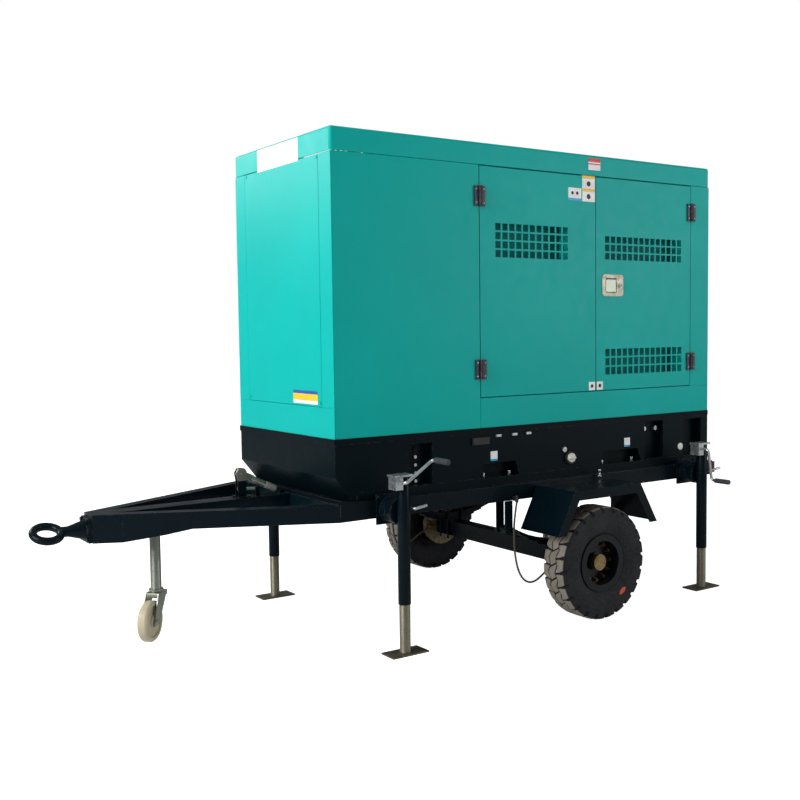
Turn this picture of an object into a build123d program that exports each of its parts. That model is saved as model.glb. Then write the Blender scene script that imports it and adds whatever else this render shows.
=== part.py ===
"""Towable diesel generator on a single-axle chassis, in millimetres.

Stations along X are counted from the front face of the canopy, towards the rear.
The tow eye is at -X, the near side is at -Y, and Z is counted up from the ground.
Every piece is moved by ORIGIN_X as it is written, so that the finished model stands
with its origin on the ground under the middle of its overall box.
"""

import os
from math import cos, pi, radians, sin, tan

from build123d import *

os.makedirs("parts", exist_ok=True)

# ---------------------------------------------------------------- driving dimensions
# Overall
RUN = 0.05                       # radial clearance of a running fit
GAP = 2.0                        # gap on each side of a door or removable panel
SHEET = 4.0                      # canopy sheet, with its powder coat

# Canopy
LENGTH = 2600.0
HALF_WIDTH = 500.0
CANOPY_BOTTOM = 1013.0
ROOF_LOWER_EDGE = 2338.0
CANOPY_TOP = 2449.0
ROOF_EDGE_RADIUS = 14.0

# Side doors
DOOR_FRONT = 861.0
DOOR_SPLIT = 1670.0
DOOR_REAR = 2441.0
DOOR_BOTTOM = 1168.0
DOOR_TOP = 2334.0
DOOR_DEPTH = 40.0
HINGE_STAND_OFF = 14.0           # hinge pin axis outside the canopy's side face
HINGE_HEIGHTS = (1311.0, 2181.0)
HINGE_LENGTH = 100.0
HINGE_LEAF = 34.0

# Front face
ACCESS_HALF_WIDTH = 385.0
ACCESS_BOTTOM = 1158.0

# Rear face
CONTROL_HALF_WIDTH = 300.0
CONTROL_BOTTOM = 1480.0
CONTROL_TOP = 2200.0
CONTROL_DEPTH = 24.0
CONTROL_KNUCKLES = ((1540.0, 1600.0), (2080.0, 2140.0))
STOP_BUTTON = (-400.0, 1800.0)   # y, z of the emergency stop

# Skid base
BASE_BOTTOM = 713.0
BASE_WALL = 6.0
BASE_CHAMFER = (93.0, 116.0)     # length along X, height along Z
FRONT_LIP = 5.0
LASHING_X = 2355.0
LASHING_Z = 811.0

# Trailer chassis
RAIL_OUTER = 540.0
RAIL_WIDTH = 60.0
RAIL_BOTTOM = 630.0
DRAWBAR_TOP = 709.0
DRAWBAR_TUBE = 60.0
HEAD_FRONT = -999.0
HEAD_REAR = -880.0
HEAD_HALF_WIDTH = 58.0
HEAD_BOTTOM = 581.0
EYE_X = -1183.0
EYE_Z = 639.0
EYE_MAJOR = 59.0
EYE_MINOR = 18.0
EYE_BORE = 42.0
EYE_ROLL = 24.0                  # degrees that the ring is turned about its shank

# Running gear
AXLE_X = 1420.0
WHEEL_RADIUS = 295.0
BOLT_CIRCLE = 97.0
WHEEL_WIDTH = 160.0
WHEEL_OUTER = 819.0
RIM_SEAT = 127.0
RIM_FLANGE = 149.0
AXLE_TUBE = 90.0
STUB_RADIUS = 25.0
BRAKE_RADIUS = 125.0
MUDGUARD = ((1085.0, 475.0), (1199.0, 694.0), (1671.0, 694.0), (1797.0, 477.0))
MUDGUARD_OUTER = 830.0
MUDGUARD_LIP = 50.0

# Corner jacks
JACK_STATIONS = {"front": 267.6, "rear": 2354.5}
JACK_Y = 663.0
JACK_PIVOT_Z = 668.0
JACK_TUBE_RADIUS = 30.0
JACK_TUBE_BORE = 27.0
JACK_LEG_RADIUS = 26.0
JACK_TUBE_BOTTOM = 235.0
JACK_TUBE_TOP = 838.0
JACK_LEG_TOP = 600.0
JACK_FOOT = (202.0, 104.0, 8.0)
CRANK_OFFSET = -37.0             # crank shaft in front of the leg's axis
CRANK_Z = 815.0
CRANK_PLANE = 740.0
CRANK_ARM = 180.0
CRANK_ANGLE = {"front": 32.6, "rear": -80.2}
GRIP_RADIUS = 14.0
GRIP_END = 864.0
PIN_RADIUS = 7.0
PIN_OFFSET = (38.0, 18.0)        # lock pin from the swivel axis, in x and z

# Nose caster
CASTER_X = -690.0
CASTER_TRAIL = 75.0
CASTER_HEADING = 44.5            # degrees from +X to the side opposite the wheel
CASTER_AXLE_Z = 186.0
CASTER_RADIUS = 95.0
CASTER_WIDTH = 48.0
CASTER_LEG_RADIUS = 25.0
CASTER_LEG_BOTTOM = 310.0

# Hand brake
BRAKE_PIVOT = (-245.0, 826.0)    # x, z
BRAKE_LEVER_ANGLE = -26.7        # degrees above +X, at rest
BRAKE_LEVER_LENGTH = 210.0

# The overall box runs from the tow eye's front to the rear lamps' back.
LAMP_BACK = 2620.0
EYE_FRONT = EYE_X - EYE_MAJOR - EYE_MINOR
ORIGIN_X = -(EYE_FRONT + LAMP_BACK) / 2

SIDES = {"near": -1.0, "far": 1.0}


# ---------------------------------------------------------------- helpers
def slab(x0, x1, y0, y1, z0, z1):
    """Box between two opposite corners, given in any order."""
    size = (abs(x1 - x0), abs(y1 - y0), abs(z1 - z0))
    return Pos((x0 + x1) / 2, (y0 + y1) / 2, (z0 + z1) / 2) * Box(*size)


def rod(radius, start, end):
    """Round bar from one point to another."""
    run = Vector(*end) - Vector(*start)
    bar = Cylinder(radius, run.length, align=(Align.CENTER, Align.CENTER, Align.MIN))
    return Plane(origin=start, z_dir=run) * bar


def tube(outer, inner, start, end):
    """Round tube from one point to another."""
    return rod(outer, start, end) - rod(inner, start, end)


def bent_rod(radius, bend, *points):
    """Round bar along straight runs with the same bend radius at each corner."""
    path = FilletPolyline(*points, radius=bend)
    start = Plane(origin=points[0], z_dir=Vector(*points[1]) - Vector(*points[0]))
    return sweep(start * Circle(radius), path=path)


def side_profile(points, y0, y1):
    """Solid with a polygon outline in X and Z, between two values of Y."""
    face = Plane.XZ.offset(-min(y0, y1)) * Polygon(*points, align=None)
    return extrude(face, amount=abs(y1 - y0), dir=(0, 1, 0))


def plan_profile(points, z0, z1):
    """Solid with a polygon outline in X and Y, between two heights."""
    return extrude(Pos(0, 0, z0) * Polygon(*points, align=None), amount=z1 - z0, dir=(0, 0, 1))


def turned(points, y_centre, x, z):
    """Solid of revolution about a line along Y; points are radius and offset along Y."""
    face = Polygon(*points, align=None)
    return Pos(x, y_centre, z) * revolve(face, Axis.Y)


def hexagon_head(radius, thickness, centre, direction):
    """Bolt head that stands on a face."""
    head = extrude(RegularPolygon(radius, 6), amount=thickness)
    return Plane(origin=centre, z_dir=direction) * head


def save(node, *shapes):
    """Write one node, as the separate solids of all its shapes."""
    solids = [solid for shape in shapes for solid in shape.solids()]
    group = Compound(solids).moved(Location((ORIGIN_X, 0, 0)))
    export_step(group, f"parts/{node}.step")


# ---------------------------------------------------------------- chassis
def side_rails():
    inner = RAIL_OUTER - RAIL_WIDTH
    return [slab(0, LENGTH, s * inner, s * RAIL_OUTER, RAIL_BOTTOM, BASE_BOTTOM) for s in SIDES.values()]


def cross_members():
    """Four tubes between the rails, and the closing plate behind the first one."""
    inner = RAIL_OUTER - RAIL_WIDTH
    top = BASE_BOTTOM - 3
    members = [slab(x, x + 60, -inner, inner, RAIL_BOTTOM, top) for x in (0, 820, 1960, LENGTH - 60)]
    members.append(slab(60.2, 240, -inner + 0.2, inner - 0.2, top - 7, top))
    return members


def drawbar_side(y0, y1):
    """Solid with the drawbar's side view between two values of Y; it deepens towards the head."""
    outline = [(0, DRAWBAR_TOP), (HEAD_FRONT, DRAWBAR_TOP), (HEAD_FRONT, HEAD_BOTTOM),
               (HEAD_REAR, HEAD_BOTTOM), (-713, 607), (-604, RAIL_BOTTOM), (0, RAIL_BOTTOM)]
    return side_profile(outline, y0, y1)


def drawbar_slope():
    """Slope in plan of the A-frame's outer edge."""
    return (RAIL_OUTER - HEAD_HALF_WIDTH) / -HEAD_FRONT


def drawbar():
    """A-frame: two outer beams, the centre beam and the head block."""
    slope = drawbar_slope()
    half_head = HEAD_HALF_WIDTH + slope * (HEAD_REAR - HEAD_FRONT)
    centre_half = 49.0
    inset = DRAWBAR_TUBE * (1 + slope ** 2) ** 0.5
    inner_start = RAIL_OUTER - inset
    meet = -(inner_start - centre_half - 0.5) / slope
    view = drawbar_side(-RAIL_OUTER, RAIL_OUTER)
    pieces = []
    for s in SIDES.values():
        outline = [(0, s * RAIL_OUTER), (HEAD_REAR, s * half_head), (HEAD_REAR, s * (centre_half + 0.5)),
                   (meet, s * (centre_half + 0.5)), (0, s * inner_start)]
        pieces.append(plan_profile(outline, HEAD_BOTTOM, DRAWBAR_TOP) & view)
    socket = rod(CASTER_LEG_RADIUS + 1, (CASTER_X, 0, HEAD_BOTTOM), (CASTER_X, 0, DRAWBAR_TOP - 6))
    centre_beam = slab(HEAD_REAR, 0, -centre_half, centre_half, HEAD_BOTTOM, DRAWBAR_TOP) & view
    pieces.append(centre_beam - socket)
    head = [(HEAD_FRONT, -HEAD_HALF_WIDTH), (HEAD_FRONT, HEAD_HALF_WIDTH),
            (HEAD_REAR, half_head), (HEAD_REAR, -half_head)]
    pieces.append(plan_profile(head, HEAD_BOTTOM, DRAWBAR_TOP))
    return pieces


def tow_eye():
    """Forged ring with a flared shank, its flange plate and four bolts."""
    tilted = Pos(EYE_X, 0, EYE_Z) * Rot(EYE_ROLL, 0, 0)
    ring = tilted * Torus(EYE_MAJOR, EYE_MINOR)
    flange_face = HEAD_FRONT - 16
    neck_start = EYE_X + EYE_MAJOR
    shank = rod(24, (neck_start, 0, EYE_Z), (flange_face, 0, EYE_Z))
    flare = Cone(46, 24, 76, align=(Align.CENTER, Align.CENTER, Align.MIN))
    flare = Plane(origin=(flange_face, 0, EYE_Z), z_dir=(-1, 0, 0)) * flare
    flange = slab(flange_face, HEAD_FRONT, -56, 56, EYE_Z - 56, EYE_Z + 56)
    bore = tilted * rod(EYE_BORE, (0, 0, -40), (0, 0, 40))
    eye = ring + shank + flare + flange - bore
    corners = [(flange_face, y, EYE_Z + dz) for y in (-42, 42) for dz in (-42, 42)]
    bolts = [hexagon_head(11, 8, corner, (-1, 0, 0)) for corner in corners]
    return [eye, *bolts]


def mudguards():
    """Folded guards with an inner skin and a downturned outer lip."""
    (x0, z0), left_top, right_top, (x1, z1) = MUDGUARD
    outer = Polygon((x0, z0), left_top, right_top, (x1, z1), align=None)
    drop = 120.0
    lean_left = (left_top[0] - x0) / (left_top[1] - z0)
    lean_right = (x1 - right_top[0]) / (right_top[1] - z1)
    longer = Polygon((x0 - drop * lean_left, z0 - drop), left_top, right_top,
                     (x1 + drop * lean_right, z1 - drop), align=None)
    guards = []
    for s in SIDES.values():
        skin = Plane.XZ * (outer - offset(longer, -3, kind=Kind.INTERSECTION))
        lip = Plane.XZ * (outer - offset(longer, -MUDGUARD_LIP, kind=Kind.INTERSECTION))
        start = RAIL_OUTER + 0.5
        sheet = extrude(Pos(0, s * start, 0) * skin, amount=MUDGUARD_OUTER - start, dir=(0, s, 0))
        edge = extrude(Pos(0, s * (MUDGUARD_OUTER - 3), 0) * lip, amount=3, dir=(0, s, 0))
        guards.append(sheet + edge)
        bolt_face = (AXLE_X - 10, s * 690, left_top[1])
        guards.append(hexagon_head(11, 7, bolt_face, (0, 0, 1)))
    return guards


def axle():
    """Square axle tube with a round stub at each end."""
    half = AXLE_TUBE / 2
    end = 598.0
    beam = slab(AXLE_X - half, AXLE_X + half, -end, end, WHEEL_RADIUS - half, WHEEL_RADIUS + half)
    stub_end = WHEEL_OUTER - 60
    stub = rod(STUB_RADIUS, (AXLE_X, -stub_end, WHEEL_RADIUS), (AXLE_X, stub_end, WHEEL_RADIUS))
    pipe_z = WHEEL_RADIUS + half + 6
    pipe_x = AXLE_X - 20
    pipes = [rod(5, (pipe_x, s * 60, pipe_z), (pipe_x, s * 440, pipe_z)) for s in SIDES.values()]
    return [beam + stub, *pipes]


def leaf_springs():
    """Leaf packs with their eyes, hangers, axle pads and U-bolts."""
    thickness, width = 8.0, 60.0
    half_lengths = (400.0, 340.0, 280.0, 220.0, 160.0)
    sag = 110.0
    radius = (half_lengths[0] ** 2 + sag ** 2) / (2 * sag)
    axle_top = WHEEL_RADIUS + AXLE_TUBE / 2
    pad = 6.0
    centre_z = axle_top + pad + thickness * len(half_lengths) + radius
    pieces = []
    for s in SIDES.values():
        y_in, y_out = s * (RAIL_OUTER - width), s * RAIL_OUTER
        for index, half in enumerate(half_lengths):
            ring = Circle(radius + thickness * (index + 1)) - Circle(radius + thickness * index)
            window = Pos(0, -radius) * Rectangle(2 * half, radius)
            face = Plane.XZ * (Pos(AXLE_X, centre_z) * (ring & window))
            pieces.append(extrude(Pos(0, y_in, 0) * face, amount=width, dir=(0, s, 0)))
        pieces.append(slab(AXLE_X - 55, AXLE_X + 55, y_in, y_out, axle_top, axle_top + pad))
        eye_z = centre_z - radius + sag - 12
        for end in (-1, 1):
            eye_x = AXLE_X + end * (half_lengths[0] + 18)
            pieces.append(tube(18, 8, (eye_x, y_in, eye_z), (eye_x, y_out, eye_z)))
            pieces.append(rod(7.5, (eye_x, y_in - s * 12, eye_z), (eye_x, y_out + s * 12, eye_z)))
            for y in (y_in - s * 9, y_out + s * 1):
                plate = slab(eye_x - 24, eye_x + 24, y, y + s * 8, eye_z - 24, RAIL_BOTTOM)
                pieces.append(plate - rod(8, (eye_x, y - s * 20, eye_z), (eye_x, y + s * 20, eye_z)))
        for dx in (-52, 52):
            for y in (y_in - s * 8, y_out + s * 8):
                foot = WHEEL_RADIUS - AXLE_TUBE / 2 - 20
                pieces.append(rod(6, (AXLE_X + dx, y, foot), (AXLE_X + dx, y, axle_top + 70)))
    return pieces


def brake_units():
    """Fixed side of each brake: backing plate, cylinder and hose union."""
    pieces = []
    for s in SIDES.values():
        inner, outer = (AXLE_X, s * 599, WHEEL_RADIUS), (AXLE_X, s * 606, WHEEL_RADIUS)
        pieces.append(tube(BRAKE_RADIUS, STUB_RADIUS + RUN, inner, outer))
        pieces.append(rod(24, (AXLE_X - 92, s * 598.5, 352), (AXLE_X - 92, s * 556, 352)))
        x, z = HOSE_END[0], HOSE_END[2]
        pieces.append(slab(x, x + 34, s * 578, s * 598.5, z - 12, z + 12))
    return pieces


# ---------------------------------------------------------------- brake hoses
HOSE_RADIUS = 5.0
HOSE_END = (1312.0, 588.0, 286.0)
HOSE_ROUTE = [
    (1045, 560, 622), (1032, 561, 562), (1022, 563, 492), (1020, 566, 414), (1024, 570, 340),
    (1036, 576, 274), (1060, 583, 224), (1098, 588, 198), (1141, 590, 200), (1183, 590, 221),
    (1224, 590, 249), (1268, 589, 272), HOSE_END,
]


def bend_radii(points):
    """Radius of the arc at each corner: 0.45 of its shorter run over the tangent of half the turn."""
    corners = [Vector(*p) for p in points]
    radii = []
    for before, here, after in zip(corners, corners[1:], corners[2:]):
        first, second = here - before, after - here
        half_turn = radians(first.get_angle(second)) / 2
        radii.append(0.45 * min(first.length, second.length) / tan(half_turn))
    return radii


def brake_hose(side):
    """Rubber hose along a line of straight runs and tangent arcs."""
    points = [(x, side * y, z) for x, y, z in HOSE_ROUTE]
    radii = bend_radii(points)
    print("hose bend radii", [round(r) for r in radii])
    path = FilletPolyline(*points, radius=radii)
    start = Plane(origin=points[0], z_dir=Vector(*points[1]) - Vector(*points[0]))
    hose = sweep(start * Circle(HOSE_RADIUS), path=path)
    full = pi * HOSE_RADIUS ** 2 * path.length
    print("hose length", round(path.length), "share of a full round section", hose.volume / full)
    return hose


def hose_unions():
    """Ferrule on each rail's outer face, where the hose leaves the chassis pipe."""
    x, y, z = HOSE_ROUTE[0]
    ferrules = []
    for s in SIDES.values():
        ferrules.append(rod(9, (x, s * y, z), (x, s * y, z + 34)))
        ferrules.append(slab(x - 12, x + 12, s * (RAIL_OUTER + 0.2), s * (y - 9.2), z + 6, z + 28))
    return ferrules


# ---------------------------------------------------------------- wheels
def wheel_middle(side):
    return side * (WHEEL_OUTER - WHEEL_WIDTH / 2)


def axle_rod(radius, side, start, end):
    """Round bar on the axle's line, between two offsets outwards from the wheel's middle."""
    middle = wheel_middle(side)
    low, high = middle + side * start, middle + side * end
    return rod(radius, (AXLE_X, low, WHEEL_RADIUS), (AXLE_X, high, WHEEL_RADIUS))


def tyre(side):
    """Solid industrial tyre with a flat tread."""
    half = WHEEL_WIDTH / 2
    outline = [(RIM_SEAT, -half + 28), (RIM_FLANGE + 2, -half + 26), (200, -half + 3), (262, -half),
               (286, -half + 6), (WHEEL_RADIUS, -half + 20), (WHEEL_RADIUS, half - 20), (286, half - 6),
               (262, half), (200, half - 3), (RIM_FLANGE + 2, half - 26), (RIM_SEAT, half - 28)]
    return turned(outline, wheel_middle(side), AXLE_X, WHEEL_RADIUS)


def rim(side):
    """Dished rim with its disc, hub, brake drum, bolts and hub cap."""
    seat = 54.0
    barrel = [(116, -63), (RIM_FLANGE, -63), (RIM_FLANGE, -seat - 1), (RIM_SEAT - 0.5, -seat - 1),
              (RIM_SEAT - 0.5, seat + 1), (RIM_FLANGE, seat + 1), (RIM_FLANGE, 63), (116, 63)]
    middle = wheel_middle(side)
    ring = turned(barrel, middle, AXLE_X, WHEEL_RADIUS)
    disc = axle_rod(116.5, side, -12, 0)
    hub = axle_rod(62, side, -92, -1) + axle_rod(48, side, -2, 18)
    wheel = ring + disc + hub - axle_rod(STUB_RADIUS + RUN, side, -120, 40)
    drum = axle_rod(BRAKE_RADIUS - 8, side, -130, -92.5) - axle_rod(STUB_RADIUS + RUN, side, -140, -80)
    cap = axle_rod(42, side, 18.5, 44) - axle_rod(30, side, 18, 34)
    pieces = [wheel, drum, cap]
    for index in range(12):
        angle = 2 * pi * index / 12
        x, z = AXLE_X + BOLT_CIRCLE * cos(angle), WHEEL_RADIUS + BOLT_CIRCLE * sin(angle)
        foot = (x, middle, z)
        pieces.append(rod(13, foot, (x, middle + side * 3, z)))
        pieces.append(hexagon_head(11, 12, (x, middle + side * 3.2, z), (0, side, 0)))
        pieces.append(rod(6, (x, middle + side * 15.4, z), (x, middle + side * 22, z)))
    return pieces


# ---------------------------------------------------------------- corner jacks
def jack_mounts():
    """Plate, drum and centre spigot on the rail for each corner jack."""
    pieces = []
    for station in JACK_STATIONS.values():
        for s in SIDES.values():
            plate = slab(station - 75, station + 75, s * (RAIL_OUTER + 0.2), s * 550, 600, 745)
            drum = rod(60, (station, s * 549, JACK_PIVOT_Z), (station, s * 591.5, JACK_PIVOT_Z))
            spigot = rod(20, (station, s * 590, JACK_PIVOT_Z), (station, s * 630, JACK_PIVOT_Z))
            mount = plate + drum + spigot
            dx, dz = PIN_OFFSET
            for hole_x, hole_z in ((dx, dz), (-dz, dx)):
                start = (station + hole_x, s * 565, JACK_PIVOT_Z + hole_z)
                mount = mount - rod(PIN_RADIUS + RUN, start, (start[0], s * 600, start[2]))
            pieces.append(mount)
            for bolt_x in (-62, 62):
                for bolt_z in (614, 731):
                    face = (station + bolt_x, s * 550, bolt_z)
                    pieces.append(hexagon_head(9, 7, face, (0, s, 0)))
    return pieces


def jack_tube(station, side):
    """Swivelling outer tube with its collar, gearbox, top plate and pin boss."""
    y = side * JACK_Y
    collar = rod(60, (station, side * 592, JACK_PIVOT_Z), (station, side * 640, JACK_PIVOT_Z))
    outer = rod(JACK_TUBE_RADIUS, (station, y, JACK_TUBE_BOTTOM), (station, y, JACK_TUBE_TOP))
    bore = rod(JACK_TUBE_BORE, (station, y, JACK_TUBE_BOTTOM), (station, y, JACK_TUBE_TOP))
    dx, dz = PIN_OFFSET
    pin_hole = rod(PIN_RADIUS + RUN, (station + dx, side * 580, JACK_PIVOT_Z + dz),
                   (station + dx, side * 650, JACK_PIVOT_Z + dz))
    spigot_hole = rod(20 + RUN, (station, side * 580, JACK_PIVOT_Z), (station, side * 631, JACK_PIVOT_Z))
    body = outer + collar - bore - pin_hole - spigot_hole
    box = slab(station - 62, station - 20, y - 30, y + 30, 778, JACK_TUBE_TOP) - outer
    shaft = (station + CRANK_OFFSET, side * (JACK_Y + 20), CRANK_Z)
    box = box - rod(8 + RUN, shaft, (shaft[0], side * (JACK_Y + 50), CRANK_Z))
    plate = slab(station - 67, station + 34, y - 34, y + 34, JACK_TUBE_TOP + 0.2, 848)
    return [body, box, plate]


def jack_leg(station, side):
    """Sliding inner leg with its foot plate."""
    y = side * JACK_Y
    length, width, thickness = JACK_FOOT
    foot = slab(station - length / 2, station + length / 2, y - width / 2, y + width / 2, 0, thickness)
    leg = rod(JACK_LEG_RADIUS, (station, y, thickness), (station, y, JACK_LEG_TOP))
    return foot + leg


def jack_crank(station, side, degrees):
    """Crank: shaft, flat arm and a round grip that points outwards."""
    x, z = station + CRANK_OFFSET, CRANK_Z
    tip_x = x + CRANK_ARM * cos(radians(degrees))
    tip_z = z + CRANK_ARM * sin(radians(degrees))
    bar = bent_rod(8, 18, (x, side * (JACK_Y + 22), z), (x, side * CRANK_PLANE, z),
                   (tip_x, side * CRANK_PLANE, tip_z), (tip_x, side * (CRANK_PLANE + 40), tip_z))
    grip = rod(GRIP_RADIUS, (tip_x, side * (CRANK_PLANE + 24), tip_z), (tip_x, side * GRIP_END, tip_z))
    return bar + fillet(grip.edges(), 5)


def jack_pin(station, side):
    """Lock pin through the collar into the drum, with a bent handle."""
    dx, dz = PIN_OFFSET
    x, z = station + dx, JACK_PIVOT_Z + dz
    bend = side * 702
    return bent_rod(PIN_RADIUS, 14, (x, side * 593, z), (x, bend, z), (x + 58, bend + side * 14, z + 12))


# ---------------------------------------------------------------- nose caster
def caster_sleeve():
    """Guide collar welded under the centre beam."""
    beam = slab(HEAD_REAR, 0, -60, 60, HEAD_BOTTOM, DRAWBAR_TOP) & drawbar_side(-70, 70)
    collar = rod(36, (CASTER_X, 0, 592), (CASTER_X, 0, 640)) - beam
    return [collar - rod(CASTER_LEG_RADIUS + 0.5, (CASTER_X, 0, 590), (CASTER_X, 0, 660))]


def caster_leg():
    """Sliding leg with a blind bore for the fork's kingpin."""
    leg = rod(CASTER_LEG_RADIUS, (CASTER_X, 0, CASTER_LEG_BOTTOM), (CASTER_X, 0, 690))
    foot = rod(34, (CASTER_X, 0, CASTER_LEG_BOTTOM), (CASTER_X, 0, CASTER_LEG_BOTTOM + 12))
    kingpin = rod(12 + RUN, (CASTER_X, 0, CASTER_LEG_BOTTOM - 5), (CASTER_X, 0, 362))
    return leg + foot - kingpin


def caster_place():
    """Local frame of the caster, whose wheel trails towards its own -X."""
    return Pos(CASTER_X, 0, 0) * Rot(0, 0, CASTER_HEADING)


def caster_fork():
    """Folded fork with its kingpin and the wheel's axle."""
    crown_top = CASTER_LEG_BOTTOM - 1
    half = CASTER_WIDTH / 2 + 5
    crown = slab(-50, 45, -half - 6, half + 6, crown_top - 22, crown_top)
    cheek_outline = [(-50, crown_top), (45, crown_top), (-CASTER_TRAIL + 26, CASTER_AXLE_Z - 18),
                     (-CASTER_TRAIL - 26, CASTER_AXLE_Z - 18)]
    fork = crown
    for s in SIDES.values():
        fork = fork + side_profile(cheek_outline, s * half, s * (half + 6))
    pin_end = half + 12
    axle_pin = rod(8, (-CASTER_TRAIL, -pin_end, CASTER_AXLE_Z), (-CASTER_TRAIL, pin_end, CASTER_AXLE_Z))
    kingpin = rod(12, (0, 0, crown_top - 4), (0, 0, 360))
    return caster_place() * (fork + axle_pin + kingpin)


def caster_wheel():
    """Cast nylon wheel with a stepped web."""
    half = CASTER_WIDTH / 2
    bore = 8 + RUN
    outline = [(bore, -half), (30, -half), (30, -14), (74, -14), (74, -half), (CASTER_RADIUS - 8, -half),
               (CASTER_RADIUS, -half + 9), (CASTER_RADIUS, half - 9), (CASTER_RADIUS - 8, half),
               (74, half), (74, 14), (30, 14), (30, half), (bore, half)]
    return caster_place() * turned(outline, 0, -CASTER_TRAIL, CASTER_AXLE_Z)


# ---------------------------------------------------------------- hand brake
def hand_brake_bracket():
    """Two cheeks on the centre beam, with the pivot pin, the return strut and the cable guide."""
    x, z = BRAKE_PIVOT
    foot_z = DRAWBAR_TOP + 0.2
    post = [(-266, foot_z), (-222, foot_z), (-222, 790), (-266, 790)]
    head = [(-266, 790.2), (-222, 790.2), (-218, 836), (-230, 851), (-262, 851), (-274, 830)]
    pieces = []
    for s in SIDES.values():
        foot = slab(-276, -212, s * 16, s * 40, foot_z, DRAWBAR_TOP + 6)
        pieces.append(side_profile(post, s * 10, s * 16) + foot)
        pieces.append(side_profile(head, s * 10, s * 16) - rod(8 + RUN, (x, s * 5, z), (x, s * 30, z)))
    pieces.append(rod(8, (x, -24, z), (x, 24, z)))
    anchor = slab(-172, -148, -15, 15, foot_z, 754)
    pieces.append(rod(9, (-262, 0, 752), (-160, 0, 742)) + anchor)
    pieces.append(slab(-38, -12, -13, 13, foot_z, 728))
    return pieces


def hand_brake_lever():
    """Flat lever with a tube and a rubber grip, pulled upwards to set the brake."""
    x, z = BRAKE_PIVOT
    flat = slab(-22, 70, -6, 6, -16, 16) - rod(8 + RUN, (0, -10, 0), (0, 10, 0))
    bar = rod(15, (62, 0, 0), (150, 0, 0))
    grip = rod(17, (146, 0, 0), (BRAKE_LEVER_LENGTH, 0, 0))
    grip = fillet(grip.edges(), 5)
    place = Pos(x, 0, z) * Rot(0, -BRAKE_LEVER_ANGLE, 0)
    return place * (flat + bar + grip)


# ---------------------------------------------------------------- skid base
def base_recesses(side):
    """Pockets in the base's side: lifting and lashing bays, and hold-down bolt bays."""
    face = side * (HALF_WIDTH + 5)
    deep, shallow = side * (HALF_WIDTH - 48), side * (HALF_WIDTH - 60)
    bays = [slab(x0, x1, face, deep, BASE_BOTTOM + 44, z1)
            for x0, x1, z1 in ((409, 553, 962), (2055, 2211, 975), (2383, 2540, 971))]
    for x0, x1 in ((852, 1120), (1700, 2030)):
        outline = [(x0, 748), (x1, 748), (x1 - 30, 829), (x0 + 30, 829)]
        bays.append(side_profile(outline, face, shallow))
    return bays


def base_outline(inset):
    """Side view of the base, moved in from its faces by inset."""
    run, rise = BASE_CHAMFER
    return [(inset, CANOPY_BOTTOM), (LENGTH - inset, CANOPY_BOTTOM), (LENGTH - inset, BASE_BOTTOM + inset),
            (run + 0.5 * inset, BASE_BOTTOM + inset), (inset, BASE_BOTTOM + rise + 0.5 * inset)]


def skid_base():
    """Welded tub that carries the set, with pockets in both sides and lashing holes."""
    top = CANOPY_BOTTOM
    outside = side_profile(base_outline(0), -HALF_WIDTH, HALF_WIDTH)
    inside = side_profile(base_outline(BASE_WALL), -HALF_WIDTH + BASE_WALL, HALF_WIDTH - BASE_WALL)
    inside = inside & slab(0, LENGTH, -HALF_WIDTH, HALF_WIDTH, BASE_BOTTOM, top - BASE_WALL)
    bolts = []
    for s in SIDES.values():
        for bay in base_recesses(s):
            box = bay.bounding_box()
            wall = BASE_WALL
            grown = slab(box.min.X - wall, box.max.X + wall, s * HALF_WIDTH, s * (HALF_WIDTH - 66),
                         box.min.Z - wall, box.max.Z + wall)
            inside = inside - grown
            outside = outside - bay
        for x in (2087, 2179):
            bolts.append(rod(13, (x, s * (HALF_WIDTH - 48), 930), (x, s * (HALF_WIDTH - 28), 930)))
        for x in (900, 1072, 1748, 1982):
            bolts.append(rod(8, (x, s * (HALF_WIDTH - 34), 748), (x, s * (HALF_WIDTH - 34), 776)))
        for z in (772, 812, 852, 892, 932):
            bolts.append(hexagon_head(9, 8, (481, s * (HALF_WIDTH - 48), z), (0, s, 0)))
    deck = (outside - inside) - rod(60, (1820, 250, top - 20), (1820, 250, top + 5))
    for s in SIDES.values():
        behind, before = s * (HALF_WIDTH - 40), s * (HALF_WIDTH + 5)
        deck = deck - rod(20, (LASHING_X, behind, LASHING_Z), (LASHING_X, before, LASHING_Z))
        face, lip = s * HALF_WIDTH, s * (HALF_WIDTH + 3)
        deck = deck + slab(-FRONT_LIP, LENGTH, face, lip, top - 28, top)
        deck = deck + slab(BASE_CHAMFER[0] + 20, LENGTH, face, lip, BASE_BOTTOM, BASE_BOTTOM + 42)
    deck = deck + slab(-FRONT_LIP, 0, -HALF_WIDTH, HALF_WIDTH, top - 28, top)
    return [deck, *bolts]


def fuel_tank():
    """Tank in the base, with its suction port and sender flange."""
    floor = BASE_BOTTOM + BASE_WALL + 0.2
    shell = slab(720, 1980, -400, 400, floor, 985)
    shell = fillet(shell.edges().filter_by(Axis.Z), 30)
    shell = shell - slab(726, 1974, -394, 394, floor + 6, 979)
    flange = rod(45, (1820, 250, 985.2), (1820, 250, 1000))
    return [shell, flange]


def fuel_port():
    """Filler ring on the base's near side, with the neck that leads to the tank."""
    ring = tube(34, 25, (1472, -HALF_WIDTH - 12, 815), (1472, -HALF_WIDTH - 0.2, 815))
    level = rod(14, (1430, -HALF_WIDTH - 10, 862), (1430, -HALF_WIDTH - 0.2, 862))
    front, back = -HALF_WIDTH - 9, -HALF_WIDTH - 0.2
    slots = [slab(x - 16, x + 16, front, back, 962, 974) for x in (972, 1080, 1176)]
    sender = slab(803, 906, -HALF_WIDTH - 14, -HALF_WIDTH - 0.2, 930, 965)
    return [ring, level, *slots, sender]


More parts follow.
